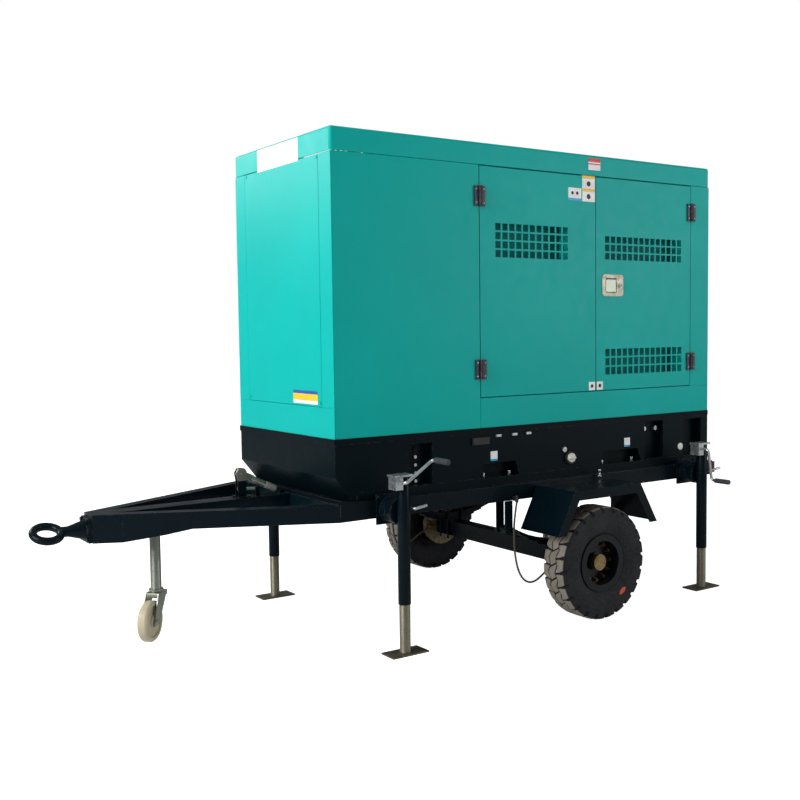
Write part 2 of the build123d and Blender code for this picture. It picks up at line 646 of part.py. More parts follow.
def fuel_cap():
    """Quarter-turn cap in the filler ring."""
    cap = rod(24.5, (1472, -HALF_WIDTH - 22, 815), (1472, -HALF_WIDTH - 1, 815))
    wing = slab(1472 - 20, 1472 + 20, -HALF_WIDTH - 32, -HALF_WIDTH - 20, 811, 819)
    return cap + wing


def rear_lamps():
    """Lamp boxes on the rails' rear ends."""
    return [slab(LENGTH + 0.5, LAMP_BACK, s * 430, s * 540, 640, 705) for s in SIDES.values()]


# ---------------------------------------------------------------- canopy
def canopy_side_walls():
    """Sheets around the doors, the jambs that the doors close on, and the centre posts."""
    jamb, stop = 28.0, 4.0
    pieces = []
    for s in SIDES.values():
        skin = (s * (HALF_WIDTH - SHEET), s * HALF_WIDTH)
        depth = (s * (HALF_WIDTH - DOOR_DEPTH - GAP - stop), s * (HALF_WIDTH - SHEET))
        back = (depth[0], depth[0] + s * stop)
        top = ROOF_LOWER_EDGE - 2

        front = slab(SHEET + 0.5, DOOR_FRONT - GAP, *skin, CANOPY_BOTTOM, top)
        front = front + slab(DOOR_FRONT - GAP - 4, DOOR_FRONT - GAP, *depth, CANOPY_BOTTOM, top)
        front = front + slab(DOOR_FRONT - GAP - 4, DOOR_FRONT + jamb, *back, DOOR_BOTTOM, DOOR_TOP)

        rear = slab(DOOR_REAR + GAP, LENGTH - SHEET - 0.5, *skin, DOOR_BOTTOM - GAP, top)
        rear = rear + slab(DOOR_REAR + GAP, DOOR_REAR + GAP + 4, *depth, DOOR_BOTTOM - GAP, top)
        rear = rear + slab(DOOR_REAR - jamb, DOOR_REAR + GAP + 4, *back, DOOR_BOTTOM, DOOR_TOP)

        sill_top = DOOR_BOTTOM - GAP - 0.5
        sill = slab(DOOR_FRONT, LENGTH - SHEET - 0.5, *skin, CANOPY_BOTTOM, sill_top)
        sill = sill + slab(DOOR_FRONT, DOOR_REAR - jamb, *depth, sill_top - 4, sill_top)
        between = (DOOR_FRONT + jamb + 1, DOOR_REAR - jamb - 1)
        sill = sill + slab(*between, *back, sill_top - 4, DOOR_BOTTOM + 20)

        header_top = ROOF_LOWER_EDGE + 30
        header = slab(*between, *back, DOOR_TOP - 24, header_top)
        post_face = back[0] - s * 0.5
        post_depth = (post_face, post_face - s * 40)
        post = slab(DOOR_SPLIT - 30, DOOR_SPLIT + 30, *post_depth, CANOPY_BOTTOM, header_top)
        pieces += [front, rear, sill, header, post]
    return pieces


def canopy_end_walls():
    """Front wall around the access panel, and rear wall around the control door."""
    top = ROOF_LOWER_EDGE - 2
    opening = ACCESS_HALF_WIDTH + GAP
    low = ACCESS_BOTTOM - GAP
    front = [slab(0, SHEET, -HALF_WIDTH, HALF_WIDTH, CANOPY_BOTTOM, low)]
    for s in SIDES.values():
        strip = slab(0, SHEET, s * opening, s * HALF_WIDTH, low + 0.5, top)
        landing = slab(SHEET, 2 * SHEET, s * (opening - 22), s * (opening + 20), low + 0.5, top)
        front.append(strip + landing)

    skin = (LENGTH - SHEET, LENGTH)
    below, above = CONTROL_BOTTOM - GAP, CONTROL_TOP + GAP
    lower = slab(*skin, -HALF_WIDTH, HALF_WIDTH, CANOPY_BOTTOM, below)
    for row in range(9):
        slot_z = 1080 + 40 * row
        lower = lower - slab(LENGTH - SHEET - 2, LENGTH + 2, -330, 330, slot_z, slot_z + 14)
    rear = [lower, slab(*skin, -HALF_WIDTH, HALF_WIDTH, above, top)]
    for s in SIDES.values():
        edge = s * (CONTROL_HALF_WIDTH + GAP)
        strip = slab(*skin, edge, s * HALF_WIDTH, below + 0.5, above - 0.5)
        y, z = STOP_BUTTON
        rear.append(strip - rod(11.5, (LENGTH - SHEET - 5, y, z), (LENGTH + 5, y, z)))
    return front + rear


def front_access_panel():
    """Removable panel in the front wall, with its four screws."""
    half = ACCESS_HALF_WIDTH
    top = ROOF_LOWER_EDGE - 2 - GAP
    panel = slab(0, SHEET - 0.2, -half, half, ACCESS_BOTTOM, top)
    panel = fillet(panel.edges().filter_by(Axis.X), 6)
    pieces = [panel]
    for y in (-370, 370):
        for z in (1176, 2322):
            pieces.append(rod(8, (-3, y, z), (-0.1, y, z)))
    return pieces


def canopy_roof():
    """Folded cap with soft edges and the air outlet's grille over the front end."""
    top = slab(0, LENGTH, -HALF_WIDTH, HALF_WIDTH, ROOF_LOWER_EDGE, CANOPY_TOP)
    soft = top.edges().filter_by(Axis.Z) + top.faces().sort_by(Axis.Z)[-1].edges()
    top = fillet(soft, ROOF_EDGE_RADIUS)
    hollow = slab(SHEET, LENGTH - SHEET, -HALF_WIDTH + SHEET, HALF_WIDTH - SHEET,
                  ROOF_LOWER_EDGE - 1, CANOPY_TOP - SHEET)
    inner_edges = hollow.edges().filter_by(Axis.Z) + hollow.faces().sort_by(Axis.Z)[-1].edges()
    top = top - fillet(inner_edges, ROOF_EDGE_RADIUS - SHEET)
    for index in range(14):
        x = 90 + 32 * index
        top = top - slab(x, x + 20, -360, 360, CANOPY_TOP - 12, CANOPY_TOP + 2)
    return top


def hinge_thirds(middle):
    """Heights of a hinge's three knuckles: two on the frame, the middle one on the door."""
    third = HINGE_LENGTH / 3
    low = middle - HINGE_LENGTH / 2
    return [(low + third * k + 0.3, low + third * (k + 1) - 0.3) for k in range(3)]


def hinge_leaf(pin_x, pin_y, middle, direction, outward, on_door):
    """One leaf of a lift-off hinge; direction is the way that the leaf lies along X."""
    low, high = middle - HINGE_LENGTH / 2, middle + HINGE_LENGTH / 2
    face = pin_y - outward * HINGE_STAND_OFF
    far_x, near_x = pin_x + direction * HINGE_LEAF, pin_x + direction * 12
    leaf = slab(near_x, far_x, face + outward * 0.2, face + outward * 9, low, high)
    thirds = hinge_thirds(middle)
    own = [thirds[1]] if on_door else [thirds[0], thirds[2]]
    for z0, z1 in own:
        leaf = leaf + slab(pin_x, pin_x + direction * 12.5, face + outward * 0.2, pin_y, z0, z1)
        leaf = leaf + rod(10, (pin_x, pin_y, z0), (pin_x, pin_y, z1))
        if on_door:
            leaf = leaf - rod(4 + RUN, (pin_x, pin_y, z0 - 1), (pin_x, pin_y, z1 + 1))
    if not on_door:
        leaf = leaf + rod(4, (pin_x, pin_y, low + 5), (pin_x, pin_y, high - 5))
    return leaf


def hinge_leaves():
    """Frame-side leaves of the side doors' and control door's hinges."""
    leaves = []
    for s in SIDES.values():
        pin_y = s * (HALF_WIDTH + HINGE_STAND_OFF)
        for middle in HINGE_HEIGHTS:
            leaves.append(hinge_leaf(DOOR_FRONT, pin_y, middle, -1, s, False))
            leaves.append(hinge_leaf(DOOR_REAR, pin_y, middle, 1, s, False))
    pin_y = CONTROL_HALF_WIDTH + 3
    for z0, z1 in CONTROL_KNUCKLES:
        plate = slab(LENGTH + 0.2, LENGTH + 5, pin_y + 6, pin_y + 40, z0, z1)
        low, high = (LENGTH + 7, pin_y, z0), (LENGTH + 7, pin_y, z1)
        knuckle = rod(7.3, low, high) & slab(LENGTH + 0.2, LENGTH + 30, 0, HALF_WIDTH, z0, z1)
        leaves.append(plate + knuckle - rod(5 + RUN, low, high))
    return leaves


VENT_BAR = 9.0


def vent_holes(x0, x1, z0, z1, columns, rows, side):
    """Grid of square holes through a door's skin."""
    pitch_x, pitch_z = (x1 - x0 + VENT_BAR) / columns, (z1 - z0 + VENT_BAR) / rows
    face = side * HALF_WIDTH
    holes = []
    for i in range(columns):
        for j in range(rows):
            x, z = x0 + pitch_x * i, z0 + pitch_z * j
            holes.append(slab(x, x + pitch_x - VENT_BAR, face + side * 3, face - side * (SHEET + 3),
                              z, z + pitch_z - VENT_BAR))
    return holes


FRONT_VENTS = [(964, 1464, 1880, 2052, 11, 4)]
REAR_VENTS = [(1741, 2360, 1889, 2017, 14, 3), (1743, 2367, 1255, 1397, 14, 3)]


def side_door(x0, x1, hinge_x, vents, side, latch):
    """Door tray with its vents, hoods behind them, lining and hinge leaves."""
    face, inner = side * HALF_WIDTH, side * (HALF_WIDTH - DOOR_DEPTH)
    z0, z1 = DOOR_BOTTOM + GAP, DOOR_TOP - GAP
    tray = slab(x0, x1, face, inner, z0, z1)
    tray = fillet(tray.edges().filter_by(Axis.Y), 5)
    tray = tray - slab(x0 + 3, x1 - 3, face - side * SHEET, inner - side, z0 + 3, z1 - 3)
    lining = slab(x0 + 4, x1 - 4, face - side * (SHEET + 0.3), inner + side * 6, z0 + 4, z1 - 4)
    pieces = []
    for vent in vents:
        vx0, vx1, vz0, vz1 = vent[:4]
        tray = tray - vent_holes(*vent, side)
        back = inner - side * 50
        hood = slab(vx0 - 20, vx1 + 20, face - side * (SHEET + 0.3), back, vz0 - 20, vz1 + 20)
        lining = lining - slab(vx0 - 21, vx1 + 21, face, inner - side * 60, vz0 - 21, vz1 + 21)
        hood = hood - slab(vx0 - 17, vx1 + 17, face, inner - side * 47, vz0 - 25, vz1 + 17)
        pieces.append(hood)
    if latch:
        lx, lz = LATCH_CENTRE
        lining = lining - slab(lx - 90, lx + 90, face, inner - side * 5, lz - 70, lz + 70)
        dish = slab(lx - 81, lx + 81, face + side * 4, face + side * 0.2, lz - 60, lz + 60)
        dish = fillet(dish.edges().filter_by(Axis.Y), 20)
        recess = slab(lx - 56, lx + 28, face + side * 6, face - side * 13, lz - 40, lz + 40)
        pan = slab(lx - 59, lx + 31, face + side * 0.2, face - side * 16, lz - 43, lz + 43)
        tray = tray - slab(lx - 60, lx + 32, face + side, face - side * 10, lz - 44, lz + 44)
        dish = (dish + pan) - recess
        lock = rod(13, (lx + 56, face + side * 4.2, lz), (lx + 56, face + side * 9, lz))
        pieces += [dish, lock]
    direction = 1 if hinge_x < x0 else -1
    pin_y = side * (HALF_WIDTH + HINGE_STAND_OFF)
    leaves = [hinge_leaf(hinge_x, pin_y, middle, direction, side, True) for middle in HINGE_HEIGHTS]
    return [tray, lining, *pieces, *leaves]


LATCH_CENTRE = (1798.0, 1748.0)


def latch_paddle(side):
    """Paddle in the latch dish, hinged along its upper edge."""
    lx, lz = LATCH_CENTRE
    face = side * HALF_WIDTH
    paddle = slab(lx - 52, lx + 24, face + side * 3, face - side * 1, lz - 36, lz + 30)
    pin = rod(3.5, (lx - 55.5, face + side * 0.5, lz + 33), (lx + 27.5, face + side * 0.5, lz + 33))
    return paddle + slab(lx - 52, lx + 24, face + side * 3, face - side * 1, lz + 29, lz + 34) + pin


def control_door():
    """Rear door with a window opening, its glass and its hinge leaves."""
    half = CONTROL_HALF_WIDTH
    x1 = LENGTH
    tray = slab(x1 - CONTROL_DEPTH, x1, -half, half, CONTROL_BOTTOM, CONTROL_TOP)
    tray = fillet(tray.edges().filter_by(Axis.X), 6)
    folds = (-half + 3, half - 3, CONTROL_BOTTOM + 3, CONTROL_TOP - 3)
    tray = tray - slab(x1 - CONTROL_DEPTH - 1, x1 - SHEET, *folds)
    window = slab(x1 - 40, x1 + 5, -190, 190, 1800, 2100)
    tray = tray - fillet(window.edges().filter_by(Axis.X), 25)
    glass = slab(x1 - SHEET - 5.2, x1 - SHEET - 0.2, -205, 205, 1785, 2115)
    knob = rod(18, (x1 + 0.2, -250, 1700), (x1 + 16, -250, 1700))
    low, high = CONTROL_BOTTOM + 20, CONTROL_TOP - 20
    strap = slab(x1 - 3, x1 + 7, half - 14, half, low, high)
    strap = strap + slab(x1 + 0.5, x1 + 7, half - 1, half + 3, low, high)
    pin = rod(5, (x1 + 7, half + 3, low), (x1 + 7, half + 3, high))
    for z0, z1 in CONTROL_KNUCKLES:
        strap = strap - slab(x1 + 0.1, x1 + 20, half - 7.5, half + 10, z0 - 1, z1 + 1)
    return [tray + strap + pin, glass, knob]


def emergency_stop():
    """Mushroom button that is pressed towards the wall."""
    y, z = STOP_BUTTON
    stem = rod(11, (LENGTH - 14, y, z), (LENGTH + 12, y, z))
    head = rod(19, (LENGTH + 8, y, z), (LENGTH + 18, y, z))
    return stem + fillet(head.edges(), 3)


# ---------------------------------------------------------------- machinery inside
def engine_block():
    """In-line engine: sump, block, head, rocker cover, manifold and flywheel housing."""
    block = fillet(slab(1080, 1700, -190, 190, 1180, 1540).edges().filter_by(Axis.X), 20)
    sump = slab(1110, 1670, -150, 150, 1060, 1179.5)
    head = slab(1090, 1690, -130, 130, 1540.5, 1640)
    cover = fillet(slab(1110, 1670, -90, 90, 1640.5, 1700).edges().filter_by(Axis.X), 18)
    bell = rod(235, (1700.5, 0, 1360), (1790, 0, 1360))
    manifold = rod(38, (1120, -175, 1600), (1660, -175, 1600))
    manifold = manifold - slab(1000, 1800, -140, 0, 1500, 1700)
    pulley = rod(80, (1000, 0, 1300), (1030, 0, 1300)) + rod(24, (1030, 0, 1300), (1079.5, 0, 1300))
    bearing = tube(40, 18 + RUN, (1036, 0, 1500), (1079.5, 0, 1500))
    feet = []
    for x in (1180, 1600):
        for s in SIDES.values():
            feet.append(slab(x - 50, x + 50, s * 150.5, s * 300, CANOPY_BOTTOM + 0.2, 1178))
    filters = [rod(48, (x, 238.2, 1290), (x, 238.2, 1430)) for x in (1250, 1370)]
    return [block, sump, head, cover, bell, manifold, pulley, bearing, *feet, *filters]


def fan_belt():
    """Belt around the crank pulley and the fan pulley."""
    outer = make_hull(Circle(88).edges() + (Pos(0, 200) * Circle(78)).edges())
    inner = make_hull(Circle(80.5).edges() + (Pos(0, 200) * Circle(70.5)).edges())
    face = Plane(origin=(1004, 0, 1300), x_dir=(0, 1, 0), z_dir=(1, 0, 0)) * (outer - inner)
    return extrude(face, amount=22, dir=(1, 0, 0))


def coolant_hoses():
    """Upper and lower coolant hoses between the radiator and the engine."""
    upper = bent_rod(24, 60, (570.2, 250, 1880), (780, 250, 1880), (960, 90, 1600), (1089.5, 90, 1600))
    lower = bent_rod(24, 60, (570.2, -250, 1130), (780, -250, 1130), (960, -140, 1240),
                     (1079.5, -140, 1240))
    return [upper, lower]


def alternator():
    """Round alternator frame with end bells, feet and terminal box."""
    body = rod(255, (1790.5, 0, 1360), (2250, 0, 1360))
    for x in (1850, 1930, 2010, 2090):
        body = body - tube(260, 248, (x, 0, 1360), (x + 30, 0, 1360))
    around = rod(255.2, (1780, 0, 1360), (2300, 0, 1360))
    feet = []
    for s in SIDES.values():
        feet.append(slab(1830, 2200, s * 140, s * 250, CANOPY_BOTTOM + 0.2, 1240) - around)
    box = slab(1840, 2180, -180, 180, 1618, 1780)
    return [body, *feet, box]


def radiator():
    """Core between two tanks, in a frame, with a filler neck and the fan shroud."""
    core = slab(500, 560, -380, 380, 1160, 1840)
    tanks = [slab(490, 570, -400, 400, z0, z1) for z0, z1 in ((1100, 1159.5), (1840.5, 1920))]
    legs = [slab(500, 560, s * 340, s * 400, CANOPY_BOTTOM + 0.2, 1099.5) for s in (-1, 1)]
    neck = rod(30, (530, 0, 1920.5), (530, 0, 1960))
    shroud = slab(560.5, 640, -370, 370, 1170, 1830)
    shroud = shroud - rod(315, (550, 0, 1500), (650, 0, 1500))
    return [core, *tanks, *legs, neck, shroud]


def fan():
    """Eight-bladed fan with its hub, shaft and pulley."""
    wheel = rod(70, (600, 0, 1500), (650, 0, 1500))
    wheel = wheel + rod(18, (650, 0, 1500), (1070, 0, 1500)) + rod(70, (1000, 0, 1500), (1030, 0, 1500))
    blade = slab(-5, 5, -45, 45, 60, 300)
    for index in range(8):
        turn = Pos(625, 0, 1500) * Rot(45 * index, 0, 0) * Rot(0, 0, 50)
        wheel = wheel + turn * blade
    return wheel


def muffler():
    """Silencer across the outlet chamber, with its hangers, inlet and tail pipes."""
    can = fillet(rod(110, (260, -300, 2020), (260, 300, 2020)).edges(), 18)
    around = rod(110.5, (260, -400, 2020), (260, 400, 2020))
    inlet = bent_rod(32, 70, (360, -175, 2020), (900, -175, 2020), (1150, -175, 1800), (1150, -175, 1638))
    inlet = inlet - around - rod(38.2, (1110, -175, 1600), (1190, -175, 1600))
    tail = rod(38, (260, 200, 2130.5), (260, 200, 2400))
    hangers = []
    for s in SIDES.values():
        hangers.append(slab(235, 285, s * 258, s * 278, 2020, CANOPY_TOP - SHEET - 0.2) - around)
    return [can, inlet, tail, *hangers]


def air_cleaner():
    """Dry filter canister with its outlet elbow and stand, over the engine."""
    can = fillet(rod(120, (1300, 150, 1980), (1700, 150, 1980)).edges(), 12)
    elbow = bent_rod(40, 60, (1299.5, 150, 1980), (1180, 150, 1980), (1180, 150, 1760), (1180, 60, 1700.5))
    stand = slab(1480, 1520, -60, 240, 1700.5, 1900) - rod(120.5, (1200, 150, 1980), (1800, 150, 1980))
    return [can, elbow, stand]


def battery():
    """Starting battery on a tray beside the engine, with two posts and a strap."""
    tray = slab(900, 1180, 305, 440, CANOPY_BOTTOM + 0.2, 1040)
    case = fillet(slab(910, 1170, 312, 434, 1040.5, 1240).edges().filter_by(Axis.Z), 8)
    posts = [rod(9, (x, 373, 1240.2), (x, 373, 1258)) for x in (950, 1130)]
    return [tray, case, *posts]


def control_cabinet():
    """Cabinet behind the rear door: case, sloped fascia, screen, breaker and terminals."""
    x0, x1 = 2300, 2560
    case = slab(x0, x1 - 90, -290, 290, 1490, 2190)
    screen = slab(x1 - 89.5, x1 - 75, -150, 150, 1860, 2040)
    breaker = slab(x1 - 89.5, x1 - 60, -90, 90, 1560, 1740)
    handle = slab(x1 - 59.5, x1 - 40, -14, 14, 1630, 1700)
    keys = [rod(9, (x1 - 89.5, y, 1800), (x1 - 78, y, 1800)) for y in (-120, -60, 0, 60, 120)]
    legs = [slab(x0 + 20, x0 + 60, s * 240, s * 285, CANOPY_BOTTOM + 0.2, 1489.5) for s in (-1, 1)]
    return [case, screen, breaker, handle, *keys, *legs]


# ---------------------------------------------------------------- write every node
save("chassis_frame", *side_rails(), *cross_members())
save("drawbar", *drawbar())
save("tow_eye", *tow_eye())
save("mudguards", *mudguards())
save("axle_beam", *axle())
save("leaf_springs", *leaf_springs())
save("brake_units", *brake_units(), *hose_unions())
save("jack_mounts", *jack_mounts())
save("caster_leg", caster_leg())
save("caster_fork", caster_fork())
save("caster_wheel", caster_wheel())
save("drawbar_fittings", *caster_sleeve(), *hand_brake_bracket())
save("hand_brake_lever", hand_brake_lever())
save("skid_base", *skid_base())
save("fuel_tank", *fuel_tank())
save("fuel_port", *fuel_port())
save("fuel_cap", fuel_cap())
save("rear_lamps", *rear_lamps())
save("canopy_side_walls", *canopy_side_walls())
save("canopy_end_walls", *canopy_end_walls())
save("front_access_panel", *front_access_panel())
save("canopy_roof", canopy_roof())
save("hinge_leaves", *hinge_leaves())
save("control_door", *control_door())
save("emergency_stop", emergency_stop())
save("engine_block", *engine_block(), fan_belt(), *coolant_hoses(), *air_cleaner())
save("alternator", *alternator())
save("radiator", *radiator())
save("fan", fan())
save("muffler", *muffler())
save("battery", *battery())
save("control_cabinet", *control_cabinet())

for side_name, side_sign in SIDES.items():
    save(f"{side_name}_tyre", tyre(side_sign))
    save(f"{side_name}_rim", *rim(side_sign))
    save(f"{side_name}_brake_hose", brake_hose(side_sign))
    save(f"{side_name}_front_door",
         *side_door(DOOR_FRONT + GAP, DOOR_SPLIT - GAP, DOOR_FRONT, FRONT_VENTS, side_sign, False))
    save(f"{side_name}_rear_door",
         *side_door(DOOR_SPLIT + GAP, DOOR_REAR - GAP, DOOR_REAR, REAR_VENTS, side_sign, True))
    save(f"{side_name}_latch_paddle", latch_paddle(side_sign))
    for end_name, jack_x in JACK_STATIONS.items():
        corner_name = f"{side_name}_{end_name}_jack"
        save(f"{corner_name}_tube", *jack_tube(jack_x, side_sign))
        save(f"{corner_name}_leg", jack_leg(jack_x, side_sign))
        save(f"{corner_name}_crank", jack_crank(jack_x, side_sign, CRANK_ANGLE[end_name]))
        save(f"{corner_name}_pin", jack_pin(jack_x, side_sign))
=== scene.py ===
"""Looks of the towable diesel generator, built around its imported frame. Metres."""

from math import cos, floor, pi, radians, sin

import bpy
from mathutils import Matrix, Vector


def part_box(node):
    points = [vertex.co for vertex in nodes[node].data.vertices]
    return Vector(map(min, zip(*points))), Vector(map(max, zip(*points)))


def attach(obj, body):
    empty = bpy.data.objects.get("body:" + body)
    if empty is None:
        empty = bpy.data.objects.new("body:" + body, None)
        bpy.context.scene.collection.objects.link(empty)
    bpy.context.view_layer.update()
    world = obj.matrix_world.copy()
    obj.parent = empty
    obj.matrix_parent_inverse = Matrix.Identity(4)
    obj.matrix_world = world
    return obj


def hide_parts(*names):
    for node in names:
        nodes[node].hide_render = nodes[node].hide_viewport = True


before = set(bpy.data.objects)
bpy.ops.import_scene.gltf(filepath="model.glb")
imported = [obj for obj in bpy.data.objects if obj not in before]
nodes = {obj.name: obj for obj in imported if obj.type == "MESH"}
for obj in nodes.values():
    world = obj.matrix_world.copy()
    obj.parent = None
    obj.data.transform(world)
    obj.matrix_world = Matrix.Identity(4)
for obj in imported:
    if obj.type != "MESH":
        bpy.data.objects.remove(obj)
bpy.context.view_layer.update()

SIDES = {"near": -1, "far": 1}

# A station is a distance behind the canopy's front face, a height is above the ground, and any other
# place is a distance from the middle plane.
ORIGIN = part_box("canopy_roof")[0].x
FACE = 0.500            # side face of the canopy
PROUD = 0.5001          # just beyond it: what reaches further is a fitting
HINGE_HEIGHTS = (1.311, 2.181)
DOOR_PINS = {"front_door": (0.861, 1), "rear_door": (2.441, -1)}   # hinge station, way to the door
LATCH_STATION, LATCH_HEIGHT = 1.798, 1.748
JACK_STATIONS = (0.2676, 2.3545)
JACK_PIVOT_HEIGHT = 0.668
JACK_PLANE = 0.663      # centre plane of the jack tubes
TUBE_RADIUS = 0.0304    # just beyond their outside
AXLE_HEIGHT = 0.295
WHEEL = Vector(((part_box("near_tyre")[0].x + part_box("near_tyre")[1].x) / 2, 0, AXLE_HEIGHT))
TYRE_MIDDLE = 0.739     # centre plane of a tyre
TYRE_HALF = 0.080       # half its width
BEAD = (0.052, 0.1275)  # offset from that plane and radius where the tyre meets the rim


def new_object(name, data):
    """Object linked to the scene."""
    thing = bpy.data.objects.new(name, data)
    bpy.context.scene.collection.objects.link(thing)
    return thing


# ---------------------------------------------------------------- camera and cords
def make_camera():
    """Camera off the front near corner, a little below the middle of the canopy, as in the photo."""
    data = bpy.data.cameras.new("camera")
    data.sensor_width = 36.0
    data.lens = 46.64
    data.clip_end = 200.0
    camera = new_object("camera", data)
    yaw, pitch, roll = radians(34.067), radians(-3.762), radians(-0.759)
    forward = Vector((sin(yaw) * cos(pitch), cos(yaw) * cos(pitch), sin(pitch)))
    level = Vector((cos(yaw), -sin(yaw), 0))
    lifted = level.cross(forward)
    right = level * cos(roll) + lifted * sin(roll)
    up = lifted * cos(roll) - level * sin(roll)
    turn = Matrix((right, up, -forward)).transposed()
    place = Vector((ORIGIN - 2.4189, -4.6188, 1.5068))
    camera.matrix_world = Matrix.Translation(place) @ turn.to_4x4()
    bpy.context.scene.camera = camera


HOSE_ROUTE = [
    (1.045, 0.560, 0.622), (1.032, 0.561, 0.562), (1.022, 0.563, 0.492), (1.020, 0.566, 0.414),
    (1.024, 0.570, 0.340), (1.036, 0.576, 0.274), (1.060, 0.583, 0.224), (1.098, 0.588, 0.198),
    (1.141, 0.590, 0.200), (1.183, 0.590, 0.221), (1.224, 0.590, 0.249), (1.268, 0.589, 0.272),
    (1.312, 0.588, 0.286),
]
HOSE_RADIUS = 0.005


def brake_hose(side_name, side):
    """Rubber brake hose on one smooth line from the chassis ferrule to the brake."""
    points = [(ORIGIN + x, side * y, z) for x, y, z in HOSE_ROUTE]
    curve = bpy.data.curves.new(f"{side_name}_hose", "CURVE")
    curve.dimensions = "3D"
    curve.bevel_depth = 1.0   # each point's own radius gives the thickness, so that the bounds stay tight
    curve.bevel_resolution = 6
    curve.resolution_u = 12
    spline = curve.splines.new("NURBS")
    spline.points.add(len(points) - 1)
    for point, place in zip(spline.points, points):
        point.co = (*place, 1)
        point.radius = HOSE_RADIUS
    spline.order_u = 3
    spline.use_endpoint_u = True
    hose = new_object(f"{side_name}_hose", curve)
    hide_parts(f"{side_name}_brake_hose")
    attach(hose, "root")
    return hose


make_camera()
hoses = [brake_hose(name, side) for name, side in SIDES.items()]


# ---------------------------------------------------------------- materials
class Nodes:
    """Short names for building a procedural material."""

    def __init__(self, name, **sockets):
        self.material = bpy.data.materials.new(name)
        self.material.use_nodes = True
        self.tree = self.material.node_tree
        self.shader = self.tree.nodes["Principled BSDF"]
        for socket, value in sockets.items():
            self.shader.inputs[socket.replace("_", " ")].default_value = value
        self.place = self.new("ShaderNodeTexCoord").outputs["Object"]

    def new(self, kind, **settings):
        node = self.tree.nodes.new(kind)
        for key, value in settings.items():
            setattr(node, key, value)
        return node

    def link(self, source, target):
        self.tree.links.new(source, target)

    def stretched(self, scale):
        """Object coordinates scaled along each axis, for brushed or streaked patterns."""
        mapping = self.new("ShaderNodeMapping")
        mapping.inputs["Scale"].default_value = scale
        self.link(self.place, mapping.inputs["Vector"])
        return mapping.outputs["Vector"]

    def noise(self, scale, detail=4.0, roughness=0.55, place=None, distortion=0.0):
        node = self.new("ShaderNodeTexNoise")
        node.inputs["Scale"].default_value = scale
        node.inputs["Detail"].default_value = detail
        node.inputs["Roughness"].default_value = roughness
        node.inputs["Distortion"].default_value = distortion
        self.link(place or self.place, node.inputs["Vector"])
        return node.outputs["Fac"]

    def cells(self, scale):
        """Distance from the nearest of many scattered points."""
        node = self.new("ShaderNodeTexVoronoi", feature="F1")
        node.inputs["Scale"].default_value = scale
        self.link(self.place, node.inputs["Vector"])
        return node.outputs["Distance"]

    def ramp(self, value, low, high, out_low=0.0, out_high=1.0):
        node = self.new("ShaderNodeMapRange")
        node.inputs["From Min"].default_value = low
        node.inputs["From Max"].default_value = high
        node.inputs["To Min"].default_value = out_low
        node.inputs["To Max"].default_value = out_high
        self.link(value, node.inputs["Value"])
        return node.outputs["Result"]

    def maths(self, operation, a, b=None):
        node = self.new("ShaderNodeMath", operation=operation)
        node.use_clamp = operation in ("MULTIPLY", "ADD")
        self.put(a, node.inputs[0])
        if b is not None:
            self.put(b, node.inputs[1])
        return node.outputs["Value"]

    def put(self, value, socket):
        if isinstance(value, (int, float, tuple)):
            socket.default_value = value
        else:
            self.link(value, socket)

    def mix(self, factor, a, b):
        node = self.new("ShaderNodeMix", data_type="RGBA")
        self.put(factor, node.inputs["Factor"])
        self.put(a, node.inputs[6])
        self.put(b, node.inputs[7])
        return node.outputs[2]

    def upward(self, low=0.55, high=0.95):
        """Mask of the faces that look up, where dust settles."""
        normal = self.new("ShaderNodeNewGeometry").outputs["Normal"]
        split = self.new("ShaderNodeSeparateXYZ")
        self.link(normal, split.inputs["Vector"])
        return self.ramp(split.outputs["Z"], low, high)

    def edges(self, radius=0.004, gain=4.0):
        """Mask of a band along sharp edges."""
        bevel = self.new("ShaderNodeBevel", samples=4)
        bevel.inputs["Radius"].default_value = radius
        normal = self.new("ShaderNodeNewGeometry").outputs["Normal"]
        dot = self.new("ShaderNodeVectorMath", operation="DOT_PRODUCT")
        self.link(bevel.outputs["Normal"], dot.inputs[0])
        self.link(normal, dot.inputs[1])
        away = self.maths("SUBTRACT", 1.0, dot.outputs["Value"])
        return self.maths("MULTIPLY", away, gain)

    def bump(self, height, strength, distance):
        node = self.new("ShaderNodeBump")
        node.inputs["Strength"].default_value = strength
        node.inputs["Distance"].default_value = distance
        self.link(height, node.inputs["Height"])
        self.link(node.outputs["Normal"], self.shader.inputs["Normal"])

    def color(self, value):
        self.put(value, self.shader.inputs["Base Color"])

    def rough(self, value):
        self.put(value, self.shader.inputs["Roughness"])


def srgb(red, green, blue):
    """Linear colour from display values 0 to 255."""
    def linear(value):
        value /= 255
        return value / 12.92 if value <= 0.04045 else ((value + 0.055) / 1.055) ** 2.4
    return (linear(red), linear(green), linear(blue), 1.0)


def shaded(colour, factor, lift=0.0):
    """A colour made darker or lighter."""
    return tuple(min(1.0, c * factor + lift) for c in colour[:3]) + (1.0,)


GRIME = (0.09, 0.085, 0.075, 1.0)
SETTLED_DUST = (0.32, 0.30, 0.27, 1.0)


